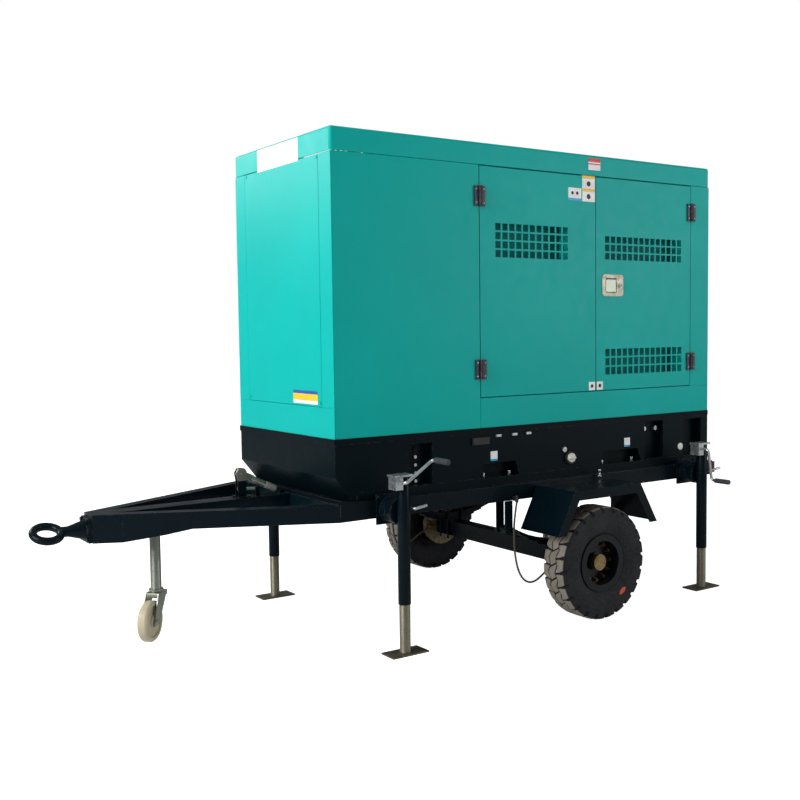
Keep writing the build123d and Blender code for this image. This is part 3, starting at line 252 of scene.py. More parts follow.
def painted(name, base, dust, roughness, coat, peel=0.25, wear=None, dusty=0.35, specular=0.28):
    """Painted metal: cloudy tone, orange peel, dust on top faces and, with wear, worn edges."""
    n = Nodes(name, Coat_Weight=coat, Coat_Roughness=0.12, Specular_IOR_Level=specular)
    cloud = n.noise(1.4, 5.0)
    tone = n.mix(n.ramp(cloud, 0.35, 0.65), shaded(base, 0.96), shaded(base, 1.035))
    settled = n.maths("MULTIPLY", n.upward(), n.ramp(n.noise(9.0, 6.0), 0.35, 0.75, 0.0, dusty))
    speckle = n.ramp(n.noise(160.0, 3.0), 0.66, 0.80, 0.0, dusty * 0.5)
    tone = n.mix(n.maths("ADD", settled, speckle), tone, dust)
    if wear is not None:
        patchy = n.ramp(n.noise(38.0, 6.0, 0.7), 0.50, 0.62)
        worn = n.maths("MULTIPLY", n.edges(), patchy)
        tone = n.mix(worn, tone, wear)
    n.color(tone)
    n.rough(n.ramp(n.noise(14.0, 4.0), 0.3, 0.7, roughness - 0.05, roughness + 0.07))
    n.bump(n.noise(420.0, 2.0), peel, 0.0004)
    return n.material


def plated(name, base, shade, roughness, tint=None, metallic=0.85):
    """Plated or bare metal: mottled crystals, grimy patches and a fine grain."""
    n = Nodes(name, Metallic=metallic)
    spangle = n.cells(95.0)
    tone = n.mix(n.ramp(spangle, 0.05, 0.6), base, shade)
    if tint is not None:
        tone = n.mix(n.ramp(n.noise(22.0, 3.0, 0.6, distortion=1.5), 0.45, 0.7), tone, tint)
    grime = n.ramp(n.noise(30.0, 8.0, 0.7), 0.55, 0.8, 0.0, 0.5)
    tone = n.mix(grime, tone, GRIME)
    n.color(tone)
    n.rough(n.ramp(n.noise(45.0, 5.0), 0.3, 0.7, roughness - 0.08, roughness + 0.16))
    n.bump(n.noise(260.0, 4.0), 0.25, 0.0006)
    return n.material


def brushed(name, base, roughness, scale=(60.0, 60.0, 900.0)):
    """Brushed sheet with fine lines."""
    n = Nodes(name, Metallic=1.0)
    lines = n.noise(1.0, 3.0, place=n.stretched(scale))
    n.color(n.mix(lines, shaded(base, 0.8), base))
    n.rough(n.ramp(lines, 0.3, 0.7, roughness - 0.06, roughness + 0.1))
    n.bump(lines, 0.15, 0.0002)
    return n.material


def moulded(name, base, roughness, grain=300.0, dust=0.15):
    """Moulded plastic or rubber with a fine grain and a little dust."""
    n = Nodes(name, Specular_IOR_Level=0.4)
    tone = n.mix(n.ramp(n.noise(12.0, 5.0), 0.35, 0.7), base, shaded(base, 1.25, 0.01))
    settled = n.maths("MULTIPLY", n.upward(0.4, 0.9), n.ramp(n.noise(40.0, 5.0), 0.4, 0.7, 0.0, dust))
    n.color(n.mix(settled, tone, SETTLED_DUST))
    n.rough(n.ramp(n.noise(30.0, 4.0), 0.3, 0.7, roughness - 0.06, roughness + 0.08))
    n.bump(n.noise(grain, 3.0), 0.3, 0.0004)
    return n.material


def cast(name, base, roughness=0.55):
    """Painted casting with a sandy skin and oily darker patches."""
    n = Nodes(name, Specular_IOR_Level=0.5)
    oil = n.ramp(n.noise(11.0, 6.0, 0.65), 0.52, 0.7)
    n.color(n.mix(oil, base, shaded(base, 0.4)))
    n.rough(n.ramp(oil, 0.0, 1.0, roughness, roughness - 0.22))
    n.bump(n.noise(180.0, 6.0, 0.7), 0.5, 0.001)
    return n.material


def finned(name, base):
    """Radiator core: close horizontal fins, darkened between them as painted shade."""
    n = Nodes(name, Metallic=0.7)
    wave = n.new("ShaderNodeTexWave", wave_type="BANDS", bands_direction="Z", wave_profile="TRI")
    wave.inputs["Scale"].default_value = 90.0
    n.link(n.place, wave.inputs["Vector"])
    fins = wave.outputs["Fac"]
    # The dark end of each band is painted shade in the gap between two fins.
    n.color(n.mix(fins, shaded(base, 0.25), base))
    n.rough(n.ramp(n.noise(30.0), 0.3, 0.7, 0.4, 0.6))
    n.bump(fins, 0.6, 0.002)
    return n.material


def lens_glass(name, tint, roughness=0.05):
    """Clear or coloured glazing."""
    n = Nodes(name, Transmission_Weight=0.85, IOR=1.5)
    n.color(n.mix(n.ramp(n.noise(8.0), 0.3, 0.7), tint, shaded(tint, 0.92)))
    n.rough(n.ramp(n.noise(20.0), 0.3, 0.7, roughness, roughness + 0.05))
    return n.material


def tyre_rubber(name):
    """Dark cloudy rubber, dusty tan on the tops of the tread blocks."""
    n = Nodes(name, Specular_IOR_Level=0.35)
    height = n.new("ShaderNodeAttribute", attribute_name="height")
    tread = n.ramp(height.outputs["Fac"], 0.45, 0.98)
    patch = n.ramp(n.noise(26.0, 7.0, 0.65), 0.3, 0.7, 0.65, 1.0)
    side = n.mix(n.ramp(n.noise(9.0, 6.0, 0.6), 0.40, 0.72), srgb(18, 20, 26), srgb(38, 38, 41))
    tone = n.mix(n.maths("MULTIPLY", tread, patch), side, srgb(148, 140, 129))
    n.color(tone)
    n.rough(n.ramp(n.noise(60.0, 4.0), 0.3, 0.7, 0.62, 0.85))
    n.bump(n.noise(350.0, 5.0, 0.7), 0.35, 0.0008)
    return n.material


TEAL = srgb(0, 176, 168)
DUST = srgb(150, 148, 140)
WORN = srgb(86, 84, 80)
paint_teal = painted("teal_paint", TEAL, srgb(60, 182, 172), 0.38, 0.0, dusty=0.05, specular=0.12)
paint_base = painted("base_paint", srgb(2, 17, 22), DUST, 0.40, 0.0, wear=WORN, dusty=0.04, specular=0.07)
paint_chassis = painted("chassis_paint", srgb(4, 18, 25), DUST, 0.30, 0.05, wear=WORN, dusty=0.04,
                        specular=0.08)
paint_rim = painted("rim_paint", srgb(4, 7, 13), DUST, 0.26, 0.20, wear=WORN, dusty=0.03, specular=0.20)
# Inside of the vent hoods, all plain teal sheet: a darker teal is painted shade on the back and lids, and a
# much lighter teal is painted light on the end walls.
painted_shade_hood = painted("vent_hood_painted_shade", srgb(8, 128, 124), DUST, 0.6, 0.0, dusty=0.02, specular=0.15)
painted_light_hood_end = painted("vent_hood_end_painted_light", srgb(40, 240, 226), DUST, 0.6, 0.0, dusty=0.02)
paint_cabinet = painted("cabinet_paint", srgb(188, 190, 186), DUST, 0.5, 0.0, dusty=0.1)
paint_alternator = painted("alternator_paint", srgb(52, 60, 66), DUST, 0.4, 0.1, wear=WORN)
zinc = plated("zinc_plate", srgb(158, 161, 150), srgb(148, 151, 140), 0.38)
leg_zinc = plated("leg_zinc_plate", srgb(148, 142, 124), srgb(136, 130, 112), 0.36)
foot_steel = plated("foot_steel", srgb(126, 122, 108), srgb(108, 103, 90), 0.50, srgb(92, 78, 64))
hub_brass = plated("hub_brass", srgb(178, 158, 108), srgb(140, 122, 80), 0.30, srgb(120, 96, 66))
bright_zinc = plated("bright_zinc_plate", srgb(198, 201, 200), srgb(184, 188, 188), 0.28)
latch_steel = plated("latch_steel", srgb(182, 177, 160), srgb(170, 165, 148), 0.42, metallic=0.45)
# The pan sunk into the latch plate is given a near-black colour as painted shade in the recess round the
# paddle.
latch_pan_painted_shade = plated("latch_pan_painted_shade", srgb(46, 47, 44), srgb(34, 35, 33), 0.50, metallic=0.3)
stainless = brushed("stainless_sheet", srgb(150, 156, 142), 0.36)
drum_iron = plated("drum_iron", srgb(150, 135, 104), srgb(128, 114, 86), 0.46, srgb(96, 84, 66), 0.5)
bolt_zinc = plated("bolt_zinc", srgb(150, 128, 88), srgb(88, 72, 50), 0.36, srgb(96, 52, 44))
ferrule_brass = plated("ferrule_brass", srgb(196, 158, 84), srgb(168, 130, 62), 0.30)
muffler_steel = brushed("muffler_sheet", srgb(150, 142, 130), 0.42, (12.0, 500.0, 500.0))
charcoal = moulded("hinge_plastic", srgb(40, 38, 50), 0.40)
black_plastic = moulded("black_plastic", srgb(22, 22, 24), 0.5)
rubber_black = moulded("hose_rubber_black", srgb(30, 30, 31), 0.62, 500.0)
grip_rubber = moulded("grip_rubber", srgb(52, 54, 58), 0.55, 220.0)
nylon = moulded("nylon_cream", srgb(180, 168, 142), 0.45, 120.0, 0.03)
grip_grey = moulded("lever_grip_grey", srgb(150, 150, 146), 0.5, 220.0, 0.02)
cap_white = moulded("cap_white_plastic", srgb(222, 222, 214), 0.4)
stop_red = moulded("stop_red_plastic", srgb(190, 22, 18), 0.25, 800.0, 0.0)
foam = moulded("door_foam", srgb(40, 40, 42), 0.9, 90.0)
hose_brown = moulded("hose_brown", srgb(74, 66, 56), 0.5, 500.0)
engine_paint = cast("engine_casting", srgb(60, 70, 74))
radiator_fins = finned("radiator_fins", srgb(120, 124, 126))
window_glass = lens_glass("window_glass", srgb(205, 225, 222))
red_lens = lens_glass("red_lens", srgb(190, 12, 12), 0.12)
rubber_tyre = tyre_rubber("tyre_rubber")
dark_screen = moulded("screen_glass", srgb(10, 16, 22), 0.12, 900.0, 0.0)


# ---------------------------------------------------------------- CAD nodes
SQUARE = 0.9            # a face looks along an axis when its normal's part there is above this
FOAM_FACE = 0.466       # inner face of a side door's foam
FOAM_EDGE = 0.4655      # just inside that face
SKIN_BACK = 0.4958      # inner face of its outer sheet
HOOD_BACK = 0.405       # how far in a vent's hood reaches
LATCH_PLATE = (0.0815, 0.061)   # half sizes of the latch's plate
LATCH_BACK = 0.4830
PAN_STATION = 1.784     # middle of the pan sunk into it
PAN = (0.047, 0.045)    # half sizes of the pan
VENTS = [(0.964, 1.464, 1.880, 2.052), (1.741, 2.360, 1.889, 2.017), (1.743, 2.367, 1.255, 1.397)]
BRAKE_PIVOT = (-0.245, 0.826)
BRAKE_LEAN = radians(26.7)


def station_of(point):
    """Distance of a point behind the canopy's front face."""
    return point.x - ORIGIN


def within(value, middle, half):
    """Whether a value is less than half away from a middle."""
    return abs(value - middle) < half


def past(value, limit):
    """How far a coordinate is beyond a limit, on either side of the object."""
    return abs(value) - limit


def door_part(centre, normal):
    """0 paint, 1 hinge leaf, 2 latch, 3 foam, 4 a vent's hood in painted shade, 5 the latch's pan in
    painted shade, 6 the hood's end walls in painted light.
    """
    station, outward = station_of(centre), abs(centre.y)
    if outward > PROUD and (station < 0.90 or station > 2.40):
        return 1
    on_latch = (within(station, LATCH_STATION, LATCH_PLATE[0])
                and within(centre.z, LATCH_HEIGHT, LATCH_PLATE[1]))
    if on_latch and outward > LATCH_BACK:
        if outward > PROUD:
            return 2
        if within(station, PAN_STATION, PAN[0]) and within(centre.z, LATCH_HEIGHT, PAN[1]):
            return 5
    if within(outward, FOAM_FACE, 0.0008) and abs(normal.y) > SQUARE:
        return 3
    # The hood's end walls take the painted light, its other faces the painted shade.
    if HOOD_BACK < outward < SKIN_BACK and in_hood(station, centre.z):
        return 6 if abs(normal.x) > SQUARE else 4
    if FOAM_EDGE < outward < SKIN_BACK and abs(normal.y) < SQUARE:
        return 3
    return 0


def in_hood(station, height):
    """Whether a point lies within the sheet hood behind one of the vents."""
    rim, sill = 0.0205, 0.0255   # how far the hood reaches past the vent, and past its lower edge
    return any(x0 - rim < station < x1 + rim and z0 - sill < height < z1 + rim
               for x0, x1, z0, z1 in VENTS)


def rim_part(centre, normal):
    """0 painted rim, 1 plated bolts, 2 hub cap and 3 the drum inside."""
    offset = past(centre.y, TYRE_MIDDLE)
    radius = ((centre.x - WHEEL.x) ** 2 + (centre.z - WHEEL.z) ** 2) ** 0.5
    drum_face, cap_face, disc_face = -0.0921, 0.0183, 0.00001
    if offset < drum_face and radius < 0.118:
        return 3
    if offset > cap_face and radius < 0.0425:
        return 2
    beyond_disc = offset > 0.0005 or offset > disc_face and abs(normal.y) < 0.5
    return int(beyond_disc and 0.082 < radius < 0.112)


def jack_part(centre, normal):
    """0 painted tube, 1 plated gearbox and top plate."""
    gearbox_foot, tube_top = 0.7745, 0.8381
    return int(centre.z > gearbox_foot and (centre.z > tube_top or is_gearbox(centre)))


def is_gearbox(centre):
    """Whether a face of a jack's head is outside its round tube."""
    station = station_of(centre)
    middle = JACK_STATIONS[0] if station < 1.3 else JACK_STATIONS[1]
    across = past(centre.y, JACK_PLANE)
    return ((station - middle) ** 2 + across ** 2) ** 0.5 > TUBE_RADIUS


def crank_part(centre, normal):
    """0 plated bar, 1 grip."""
    grip_start = 0.7636
    return int(past(centre.y, grip_start) >= 0)


def leg_part(centre, normal):
    """0 leg, 1 foot plate."""
    plate_top = 0.0081
    return int(centre.z < plate_top)


def lever_part(centre, normal):
    """0 plated lever, 1 grip."""
    run, rise = station_of(centre) - BRAKE_PIVOT[0], centre.z - BRAKE_PIVOT[1]
    grip_start = 0.1455
    return int(run * cos(BRAKE_LEAN) - rise * sin(BRAKE_LEAN) > grip_start)


def fittings_part(centre, normal):
    """0 plated bracket head, strut and collar, 1 black post, anchor and cable guide."""
    station = station_of(centre)
    guide_start, post_start, post_top, strut_half = -0.1725, -0.28, 0.7901, 0.0095
    on_post = station > post_start and centre.z < post_top and abs(centre.y) > strut_half
    return int(station > guide_start or on_post)


def brake_part(centre, normal):
    """0 drum iron, 1 black ferrules at the chassis, 2 brass block at the hose's end."""
    if centre.z > 0.6:
        return 1
    station = station_of(centre)
    return 2 * int(1.311 < station < 1.347 and abs(centre.y) < 0.5986 and within(centre.z, 0.286, 0.0125))


def port_part(centre, normal):
    """0 plated slots and level, 1 black sender plate and filler ring."""
    station = station_of(centre)
    return int(station < 0.91 or station > 1.4445 or 1.436 < station and centre.z < 0.8475)


def engine_part(centre, normal):
    """0 casting, 1 rubber, 2 dark filter housing."""
    station = station_of(centre)
    if station < 1.0895 and not (abs(centre.y) < 0.0803 and within(centre.z, 1.3, 0.0803)):
        return 1
    block_top = 1.7005
    if centre.z > block_top:
        return 2 if station > 1.25 else 1
    return 0


def radiator_part(centre, normal):
    """0 frame, 1 core."""
    station = station_of(centre)
    return int(abs(normal.x) > SQUARE and 0.4995 < station < 0.5603 and 1.16 < centre.z < 1.84)


def cabinet_part(centre, normal):
    """0 case, 1 screen, 2 breaker, 3 keys and handle."""
    station = station_of(centre)
    case_face = 2.4702
    if station < case_face:
        return 0
    if centre.z > 1.85:
        return 1
    if centre.z > 1.78 or station > 2.5003:
        return 3
    return 2


def control_door_part(centre, normal):
    """0 paint, 1 glass, 2 knob."""
    station = station_of(centre)
    if 2.5905 < station < 2.596 and abs(centre.y) < 0.2051 and 1.7849 < centre.z < 2.1151:
        return 1
    return 2 * int(station > 2.60015 and within(centre.y, -0.25, 0.019))


def battery_part(centre, normal):
    """0 case, 1 posts."""
    case_top = 1.2401
    return int(centre.z > case_top)


def base_part(centre, normal):
    """0 paint, 1 plated bolts in the pockets."""
    station, outward = station_of(centre), abs(centre.y)
    if 0.4522 < outward < 0.4725 and within(centre.z, 0.930, 0.0135):
        return int(any(within(station, place, 0.0135) for place in (2.087, 2.179)))
    if 0.4522 < outward < 0.4605 and within(station, 0.481, 0.0115):
        return 1
    if 0.7475 < centre.z < 0.7765 and within(outward, 0.466, 0.0085):
        return int(any(within(station, place, 0.0085) for place in (0.900, 1.072, 1.748, 1.982)))
    return 0


# Materials of each CAD node. Where it has several, a chooser comes last: called with a face's centre and
# normal, it gives the place of that face's material in the list.
DRESSING = {
    "chassis_frame": [paint_chassis], "drawbar": [paint_chassis], "mudguards": [paint_chassis],
    "axle_beam": [paint_chassis], "leaf_springs": [paint_chassis], "jack_mounts": [paint_chassis],
    "tow_eye": [paint_chassis],
    "canopy_side_walls": [paint_teal], "canopy_end_walls": [paint_teal], "canopy_roof": [paint_teal],
    "front_access_panel": [paint_teal],
    "brake_units": [drum_iron, black_plastic, ferrule_brass, brake_part],
    "drawbar_fittings": [zinc, paint_chassis, fittings_part],
    "caster_leg": [zinc], "caster_fork": [zinc], "caster_wheel": [nylon],
    "hand_brake_lever": [zinc, grip_grey, lever_part],
    "skid_base": [paint_base, bright_zinc, base_part], "fuel_tank": [paint_base],
    "fuel_port": [bright_zinc, black_plastic, port_part], "fuel_cap": [cap_white], "rear_lamps": [red_lens],
    "hinge_leaves": [charcoal], "emergency_stop": [stop_red],
    "engine_block": [engine_paint, rubber_black, black_plastic, engine_part],
    "alternator": [paint_alternator], "radiator": [black_plastic, radiator_fins, radiator_part],
    "fan": [black_plastic], "muffler": [muffler_steel],
    "battery": [black_plastic, zinc, battery_part],
    "control_cabinet": [paint_cabinet, dark_screen, black_plastic, grip_rubber, cabinet_part],
    "control_door": [paint_teal, window_glass, black_plastic, control_door_part],
}
for side_name in SIDES:
    for door in ("front_door", "rear_door"):
        DRESSING[f"{side_name}_{door}"] = [paint_teal, charcoal, latch_steel, foam, painted_shade_hood,
                                           latch_pan_painted_shade, painted_light_hood_end, door_part]
    DRESSING[f"{side_name}_latch_paddle"] = [stainless]
    DRESSING[f"{side_name}_rim"] = [paint_rim, bolt_zinc, hub_brass, drum_iron, rim_part]
    for end_name in ("front", "rear"):
        corner = f"{side_name}_{end_name}_jack"
        DRESSING[f"{corner}_tube"] = [paint_chassis, bright_zinc, jack_part]
        DRESSING[f"{corner}_leg"] = [leg_zinc, foot_steel, leg_part]
        DRESSING[f"{corner}_crank"] = [bright_zinc, grip_rubber, crank_part]
        DRESSING[f"{corner}_pin"] = [bright_zinc]


FINE_EDGED = {"front_door", "rear_door", "rim", "latch_paddle", "radiator", "fan", "hinge_leaves",
              "rear_lamps"}
FINE_EDGE, PLAIN_EDGE = 0.0006, 0.0015


def round_edges(thing, width):
    """Small rounding on sharp edges, so that they catch the light."""
    weld = thing.modifiers.new("weld", "WELD")
    weld.merge_threshold = 0.00002
    rounding = thing.modifiers.new("edge_round", "BEVEL")
    rounding.width = width
    rounding.segments = 2
    rounding.limit_method = "ANGLE"
    rounding.angle_limit = radians(35)


def dress_all():
    """Finish every CAD node that stays visible."""
    for name, entry in DRESSING.items():
        chooser = entry[-1] if callable(entry[-1]) else None
        mesh = nodes[name].data
        mesh.materials.clear()
        for material in entry[:-1] if chooser else entry:
            mesh.materials.append(material)
        for polygon in mesh.polygons:
            polygon.material_index = chooser(polygon.center, polygon.normal) if chooser else 0
        fine = name.removeprefix("near_").removeprefix("far_") in FINE_EDGED
        round_edges(nodes[name], FINE_EDGE if fine else PLAIN_EDGE)


# ---------------------------------------------------------------- tyres
LUGS = 24
STEPS_PER_LUG = 28
STEPS_ACROSS = 50
GROOVE_DEPTH = 0.0125
SHOULDER = 0.262        # radius at which the tread's pattern starts
TREAD_EDGE = 0.057      # offset at which the running face starts

# Radius, half width and height of each ring moulded into the sidewall.
SIDEWALL_RINGS = [(0.161, 0.0035, 0.0012), (0.182, 0.0016, 0.0009), (0.236, 0.0028, 0.0012),
                  (0.247, 0.0012, 0.0009), (0.2555, 0.0022, 0.0012)]


def tyre_profile():
    """Points of the tyre's outside as (offset across, radius), from bead to bead."""
    half = [BEAD, (0.0535, 0.140), (0.056, 0.152), (0.064, 0.170), (0.0715, 0.190),
            (0.0765, 0.208), (0.0788, 0.226), (0.0797, 0.244), (0.0796, 0.258), (0.0785, 0.268),
            (0.0765, 0.277), (0.0735, 0.284), (0.0695, 0.289), (0.0640, 0.2925), (0.0570, 0.2942)]
    dense = []
    for (w0, r0), (w1, r1) in zip(half, half[1:]):
        count = max(1, round(((w1 - w0) ** 2 + (r1 - r0) ** 2) ** 0.5 / 0.0028))
        dense += [(w0 + (w1 - w0) * i / count, r0 + (r1 - r0) * i / count) for i in range(count)]
    flat = []
    for i in range(STEPS_ACROSS + 1):
        w = TREAD_EDGE - 2 * TREAD_EDGE * i / STEPS_ACROSS
        flat.append((w, 0.2942 + 0.0006 * (1 - (w / TREAD_EDGE) ** 2)))
    return dense + flat + [(-w, r) for w, r in reversed(dense)]


def zigzag(value):
    """Triangle wave between -1 and 1 with period 1."""
    part = value - floor(value)
    return 4 * abs(part - 0.5) - 1


def soft_step(distance, half, blend):
    """1 inside a groove of half width half, 0 outside, with a short blend."""
    return max(0.0, min(1.0, (half + blend - abs(distance)) / blend))


def near_line(value):
    """Distance from the nearest whole number."""
    return abs(value - round(value))


def tread_depth(turn, w, r):
    """Depth of the pattern at a turn from 0 to 1 and an offset across; second value is its height."""
    x = w / TYRE_HALF
    lug = turn * LUGS
    side = 1 if x >= 0 else -1
    phase = lug + (0.25 if side > 0 else -0.25)
    ring = side * (0.30 + 0.10 * zigzag(phase))
    groove = soft_step(x - ring, 0.022, 0.026)
    if abs(x) < abs(ring):
        cross = soft_step(near_line(lug + 0.25 + 0.62 * x), 0.026, 0.032)
    else:
        notch = near_line(phase + 0.5 + 0.22 * (abs(x) - 0.5))
        widen = 0.032 + 0.085 * max(0.0, min(1.0, (abs(x) - 0.55) / 0.40))
        cross = soft_step(notch, widen, 0.045)
    mask = max(groove, cross)
    if r < SHOULDER:
        fade = 0.0
    elif r < 0.285:
        fade = 0.75 * min(1.0, (r - SHOULDER) / 0.006) * cross
    else:
        fade = mask
    return GROOVE_DEPTH * fade, (1 - mask) * max(0.0, min(1.0, (r - 0.283) / 0.007))


def sidewall_relief(r):
    """Rings moulded into the sidewall, as a depth below the outline."""
    relief = 0.0012
    for ring_radius, half, rise in SIDEWALL_RINGS:
        relief -= rise * soft_step(r - ring_radius, half, 0.0014)
    return max(0.0, relief)


def on_paint_mark(centre, side):
    """Whether a point lies in the small factory paint mark on the near tyre's outer wall."""
    run, rise = centre.x - WHEEL.x, centre.z - WHEEL.z
    angle = radians(-51)
    along, outward = rise * cos(angle) - run * sin(angle), run * cos(angle) + rise * sin(angle)
    in_oval = (along / 0.026) ** 2 + ((outward - 0.209) / 0.011) ** 2 < 1
    return side < 0 and centre.y < -TYRE_MIDDLE and in_oval


def make_tyre(side_name, side):
    """Moulded tyre with shoulder lugs, zig-zag grooves and ringed sidewalls."""
    profile = tyre_profile()
    normals = []
    for i in range(len(profile)):
        w0, r0 = profile[max(0, i - 1)]
        w1, r1 = profile[min(len(profile) - 1, i + 1)]
        run, rise = w1 - w0, r1 - r0
        size = (run * run + rise * rise) ** 0.5
        normals.append((rise / size, -run / size))
    around = LUGS * STEPS_PER_LUG
    vertices, heights = [], []
    for i in range(around):
        turn = i / around
        c, s = cos(2 * pi * turn), sin(2 * pi * turn)
        for (w, r), (nw, nr) in zip(profile, normals):
            depth, height = tread_depth(turn, w, r)
            if r < SHOULDER:
                depth = sidewall_relief(r)
            w_moved, r_moved = w - nw * depth, r - nr * depth
            vertices.append((WHEEL.x + r_moved * c, side * (TYRE_MIDDLE + w_moved), WHEEL.z + r_moved * s))
            heights.append(height)
    rows = len(profile)
    faces = []
    for i in range(around):
        a, b = i * rows, ((i + 1) % around) * rows
        for j in range(rows - 1):
            quad = (a + j, a + j + 1, b + j + 1, b + j)
            faces.append(quad if side > 0 else quad[::-1])
    inner = [(WHEEL.x + BEAD[1] * cos(2 * pi * i / around), side * (TYRE_MIDDLE + w),
              WHEEL.z + BEAD[1] * sin(2 * pi * i / around))
             for i in range(around) for w in (BEAD[0], -BEAD[0])]
    base = len(vertices)
    vertices += inner
    heights += [0.0] * len(inner)
    for i in range(around):
        a, b = base + 2 * i, base + 2 * ((i + 1) % around)
        quad = (a, b, b + 1, a + 1)
        faces.append(quad if side > 0 else quad[::-1])
    mesh = bpy.data.meshes.new(f"{side_name}_tyre_tread")
    mesh.from_pydata(vertices, [], faces)
    attribute = mesh.attributes.new("height", "FLOAT", "POINT")
    attribute.data.foreach_set("value", heights)
    mesh.materials.append(rubber_tyre)
    mesh.materials.append(sticker_orange)
    for polygon in mesh.polygons:
        polygon.use_smooth = True
        polygon.material_index = int(on_paint_mark(polygon.center, side))
    mesh.update()
    thing = new_object(mesh.name, mesh)
    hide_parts(f"{side_name}_tyre")
    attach(thing, f"{side_name}_wheel")


sticker_white = moulded("sticker_white", srgb(236, 236, 232), 0.35, 900.0, 0.0)
sticker_yellow = moulded("sticker_yellow", srgb(236, 190, 40), 0.35, 900.0, 0.0)
sticker_blue = moulded("sticker_blue", srgb(36, 84, 160), 0.35, 900.0, 0.0)
sticker_cyan = moulded("sticker_cyan", srgb(10, 158, 206), 0.35, 900.0, 0.0)
sticker_red = moulded("sticker_red", srgb(196, 40, 36), 0.35, 900.0, 0.0)
sticker_orange = moulded("sticker_orange", srgb(196, 74, 42), 0.6, 60.0, 0.0)
for side_name, side in SIDES.items():
    make_tyre(side_name, side)
dress_all()
for hose in hoses:
    hose.data.materials.append(hose_brown)


# ---------------------------------------------------------------- screws, welds and locks
def frame_of(direction):
    """A direction at unit length and two axes across it."""
    direction = Vector(direction).normalized()
    across = direction.orthogonal().normalized()
    return direction, across, direction.cross(across)


def lathe(centre, direction, outline, sides=18):
    """Solid of revolution from (radius, height) points, closed to a point at each end."""
    axis, u, v = frame_of(direction)
    vertices = [Vector(centre) + axis * outline[0][1]]
    for radius, height in outline:
        for k in range(sides):
            turn = 2 * pi * k / sides
            vertices.append(Vector(centre) + axis * height + (u * cos(turn) + v * sin(turn)) * radius)
    vertices.append(Vector(centre) + axis * outline[-1][1])
    faces = [(0, 1 + (k + 1) % sides, 1 + k) for k in range(sides)]
    for ring in range(len(outline) - 1):
        a, b = 1 + ring * sides, 1 + (ring + 1) * sides
        faces += [(a + k, a + (k + 1) % sides, b + (k + 1) % sides, b + k) for k in range(sides)]
    last = 1 + (len(outline) - 1) * sides
    faces += [(last + k, last + (k + 1) % sides, len(vertices) - 1) for k in range(sides)]
    return vertices, faces


def screw(place, direction, radius):
    """Domed head with a round socket."""
    return lathe(place, direction, [(radius, 0), (radius, 0.25 * radius), (radius * 0.86, 0.5 * radius),
                                    (radius * 0.5, 0.62 * radius), (radius * 0.42, 0.62 * radius),
                                    (radius * 0.38, 0.28 * radius)])


def lock_cylinder(place, direction, radius):
    """Key barrel with a raised rim and a sunk face."""
    return lathe(place, direction, [(radius, 0), (radius, 0.0022), (radius * 0.9, 0.0030),
                                    (radius * 0.74, 0.0030), (radius * 0.70, 0.0018),
                                    (radius * 0.30, 0.0018), (radius * 0.26, 0.0006)])


def weld_ring(centre, direction, radius, bead):
    """Rippled weld bead round a joint."""
    axis, u, v = frame_of(direction)
    steps = 4 * round(2 * pi * radius / (bead * 1.1))
    vertices, faces = [], []
    for i in range(steps):
        turn = 2 * pi * i / steps
        outward = u * cos(turn) + v * sin(turn)
        swell = bead * (1.0 + 0.16 * sin(0.5 * pi * i))
        for k in range(8):
            lean = 2 * pi * k / 8
            vertices.append(Vector(centre) + outward * (radius + swell * cos(lean))
                            + axis * swell * sin(lean))
    for i in range(steps):
        a, b = 8 * i, 8 * ((i + 1) % steps)
        faces += [(a + k, b + k, b + (k + 1) % 8, a + (k + 1) % 8) for k in range(8)]
    return vertices, faces


def hardware(name, body, material, pieces):
    """One object that holds several small pieces of hardware."""
    vertices, faces = [], []
    for points, sides in pieces:
        start = len(vertices)
        vertices += points
        faces += [tuple(start + k for k in side) for side in sides]
    mesh = bpy.data.meshes.new(name)
    mesh.from_pydata(vertices, [], faces)
    mesh.materials.append(material)
    for polygon in mesh.polygons:
        polygon.use_smooth = len(polygon.vertices) == 4
    thing = new_object(name, mesh)
    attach(thing, body)


def stud(foot):
    """Threaded stud with its nut, standing upright."""
    return lathe(foot, (0, 0, 1), [(0.011, 0), (0.011, 0.010), (0.006, 0.0105), (0.006, 0.030),
                                   (0.008, 0.031), (0.008, 0.040), (0.004, 0.043)])


SCREW_REACH = 0.0235    # from the hinge's pin to a row of screws
SCREW_SPREAD = 0.034    # from the hinge's middle to each screw
LEAF_FACE = 0.509       # outer face of a hinge leaf
SCREW_RADIUS = 0.0048
WELD_BEAD = 0.0035
LOCK_STATION = 1.854
PLATE_FACE = 0.5088     # outer face of the latch's plate
DRUM_FACE = 0.5510      # face that a jack's drum is welded to


def hinge_screws(side, station):
    """Screws of one row, on both hinges of a door."""
    return [screw((ORIGIN + station, side * LEAF_FACE, height + offset), (0, side, 0), SCREW_RADIUS)
            for height in HINGE_HEIGHTS for offset in (-SCREW_SPREAD, SCREW_SPREAD)]


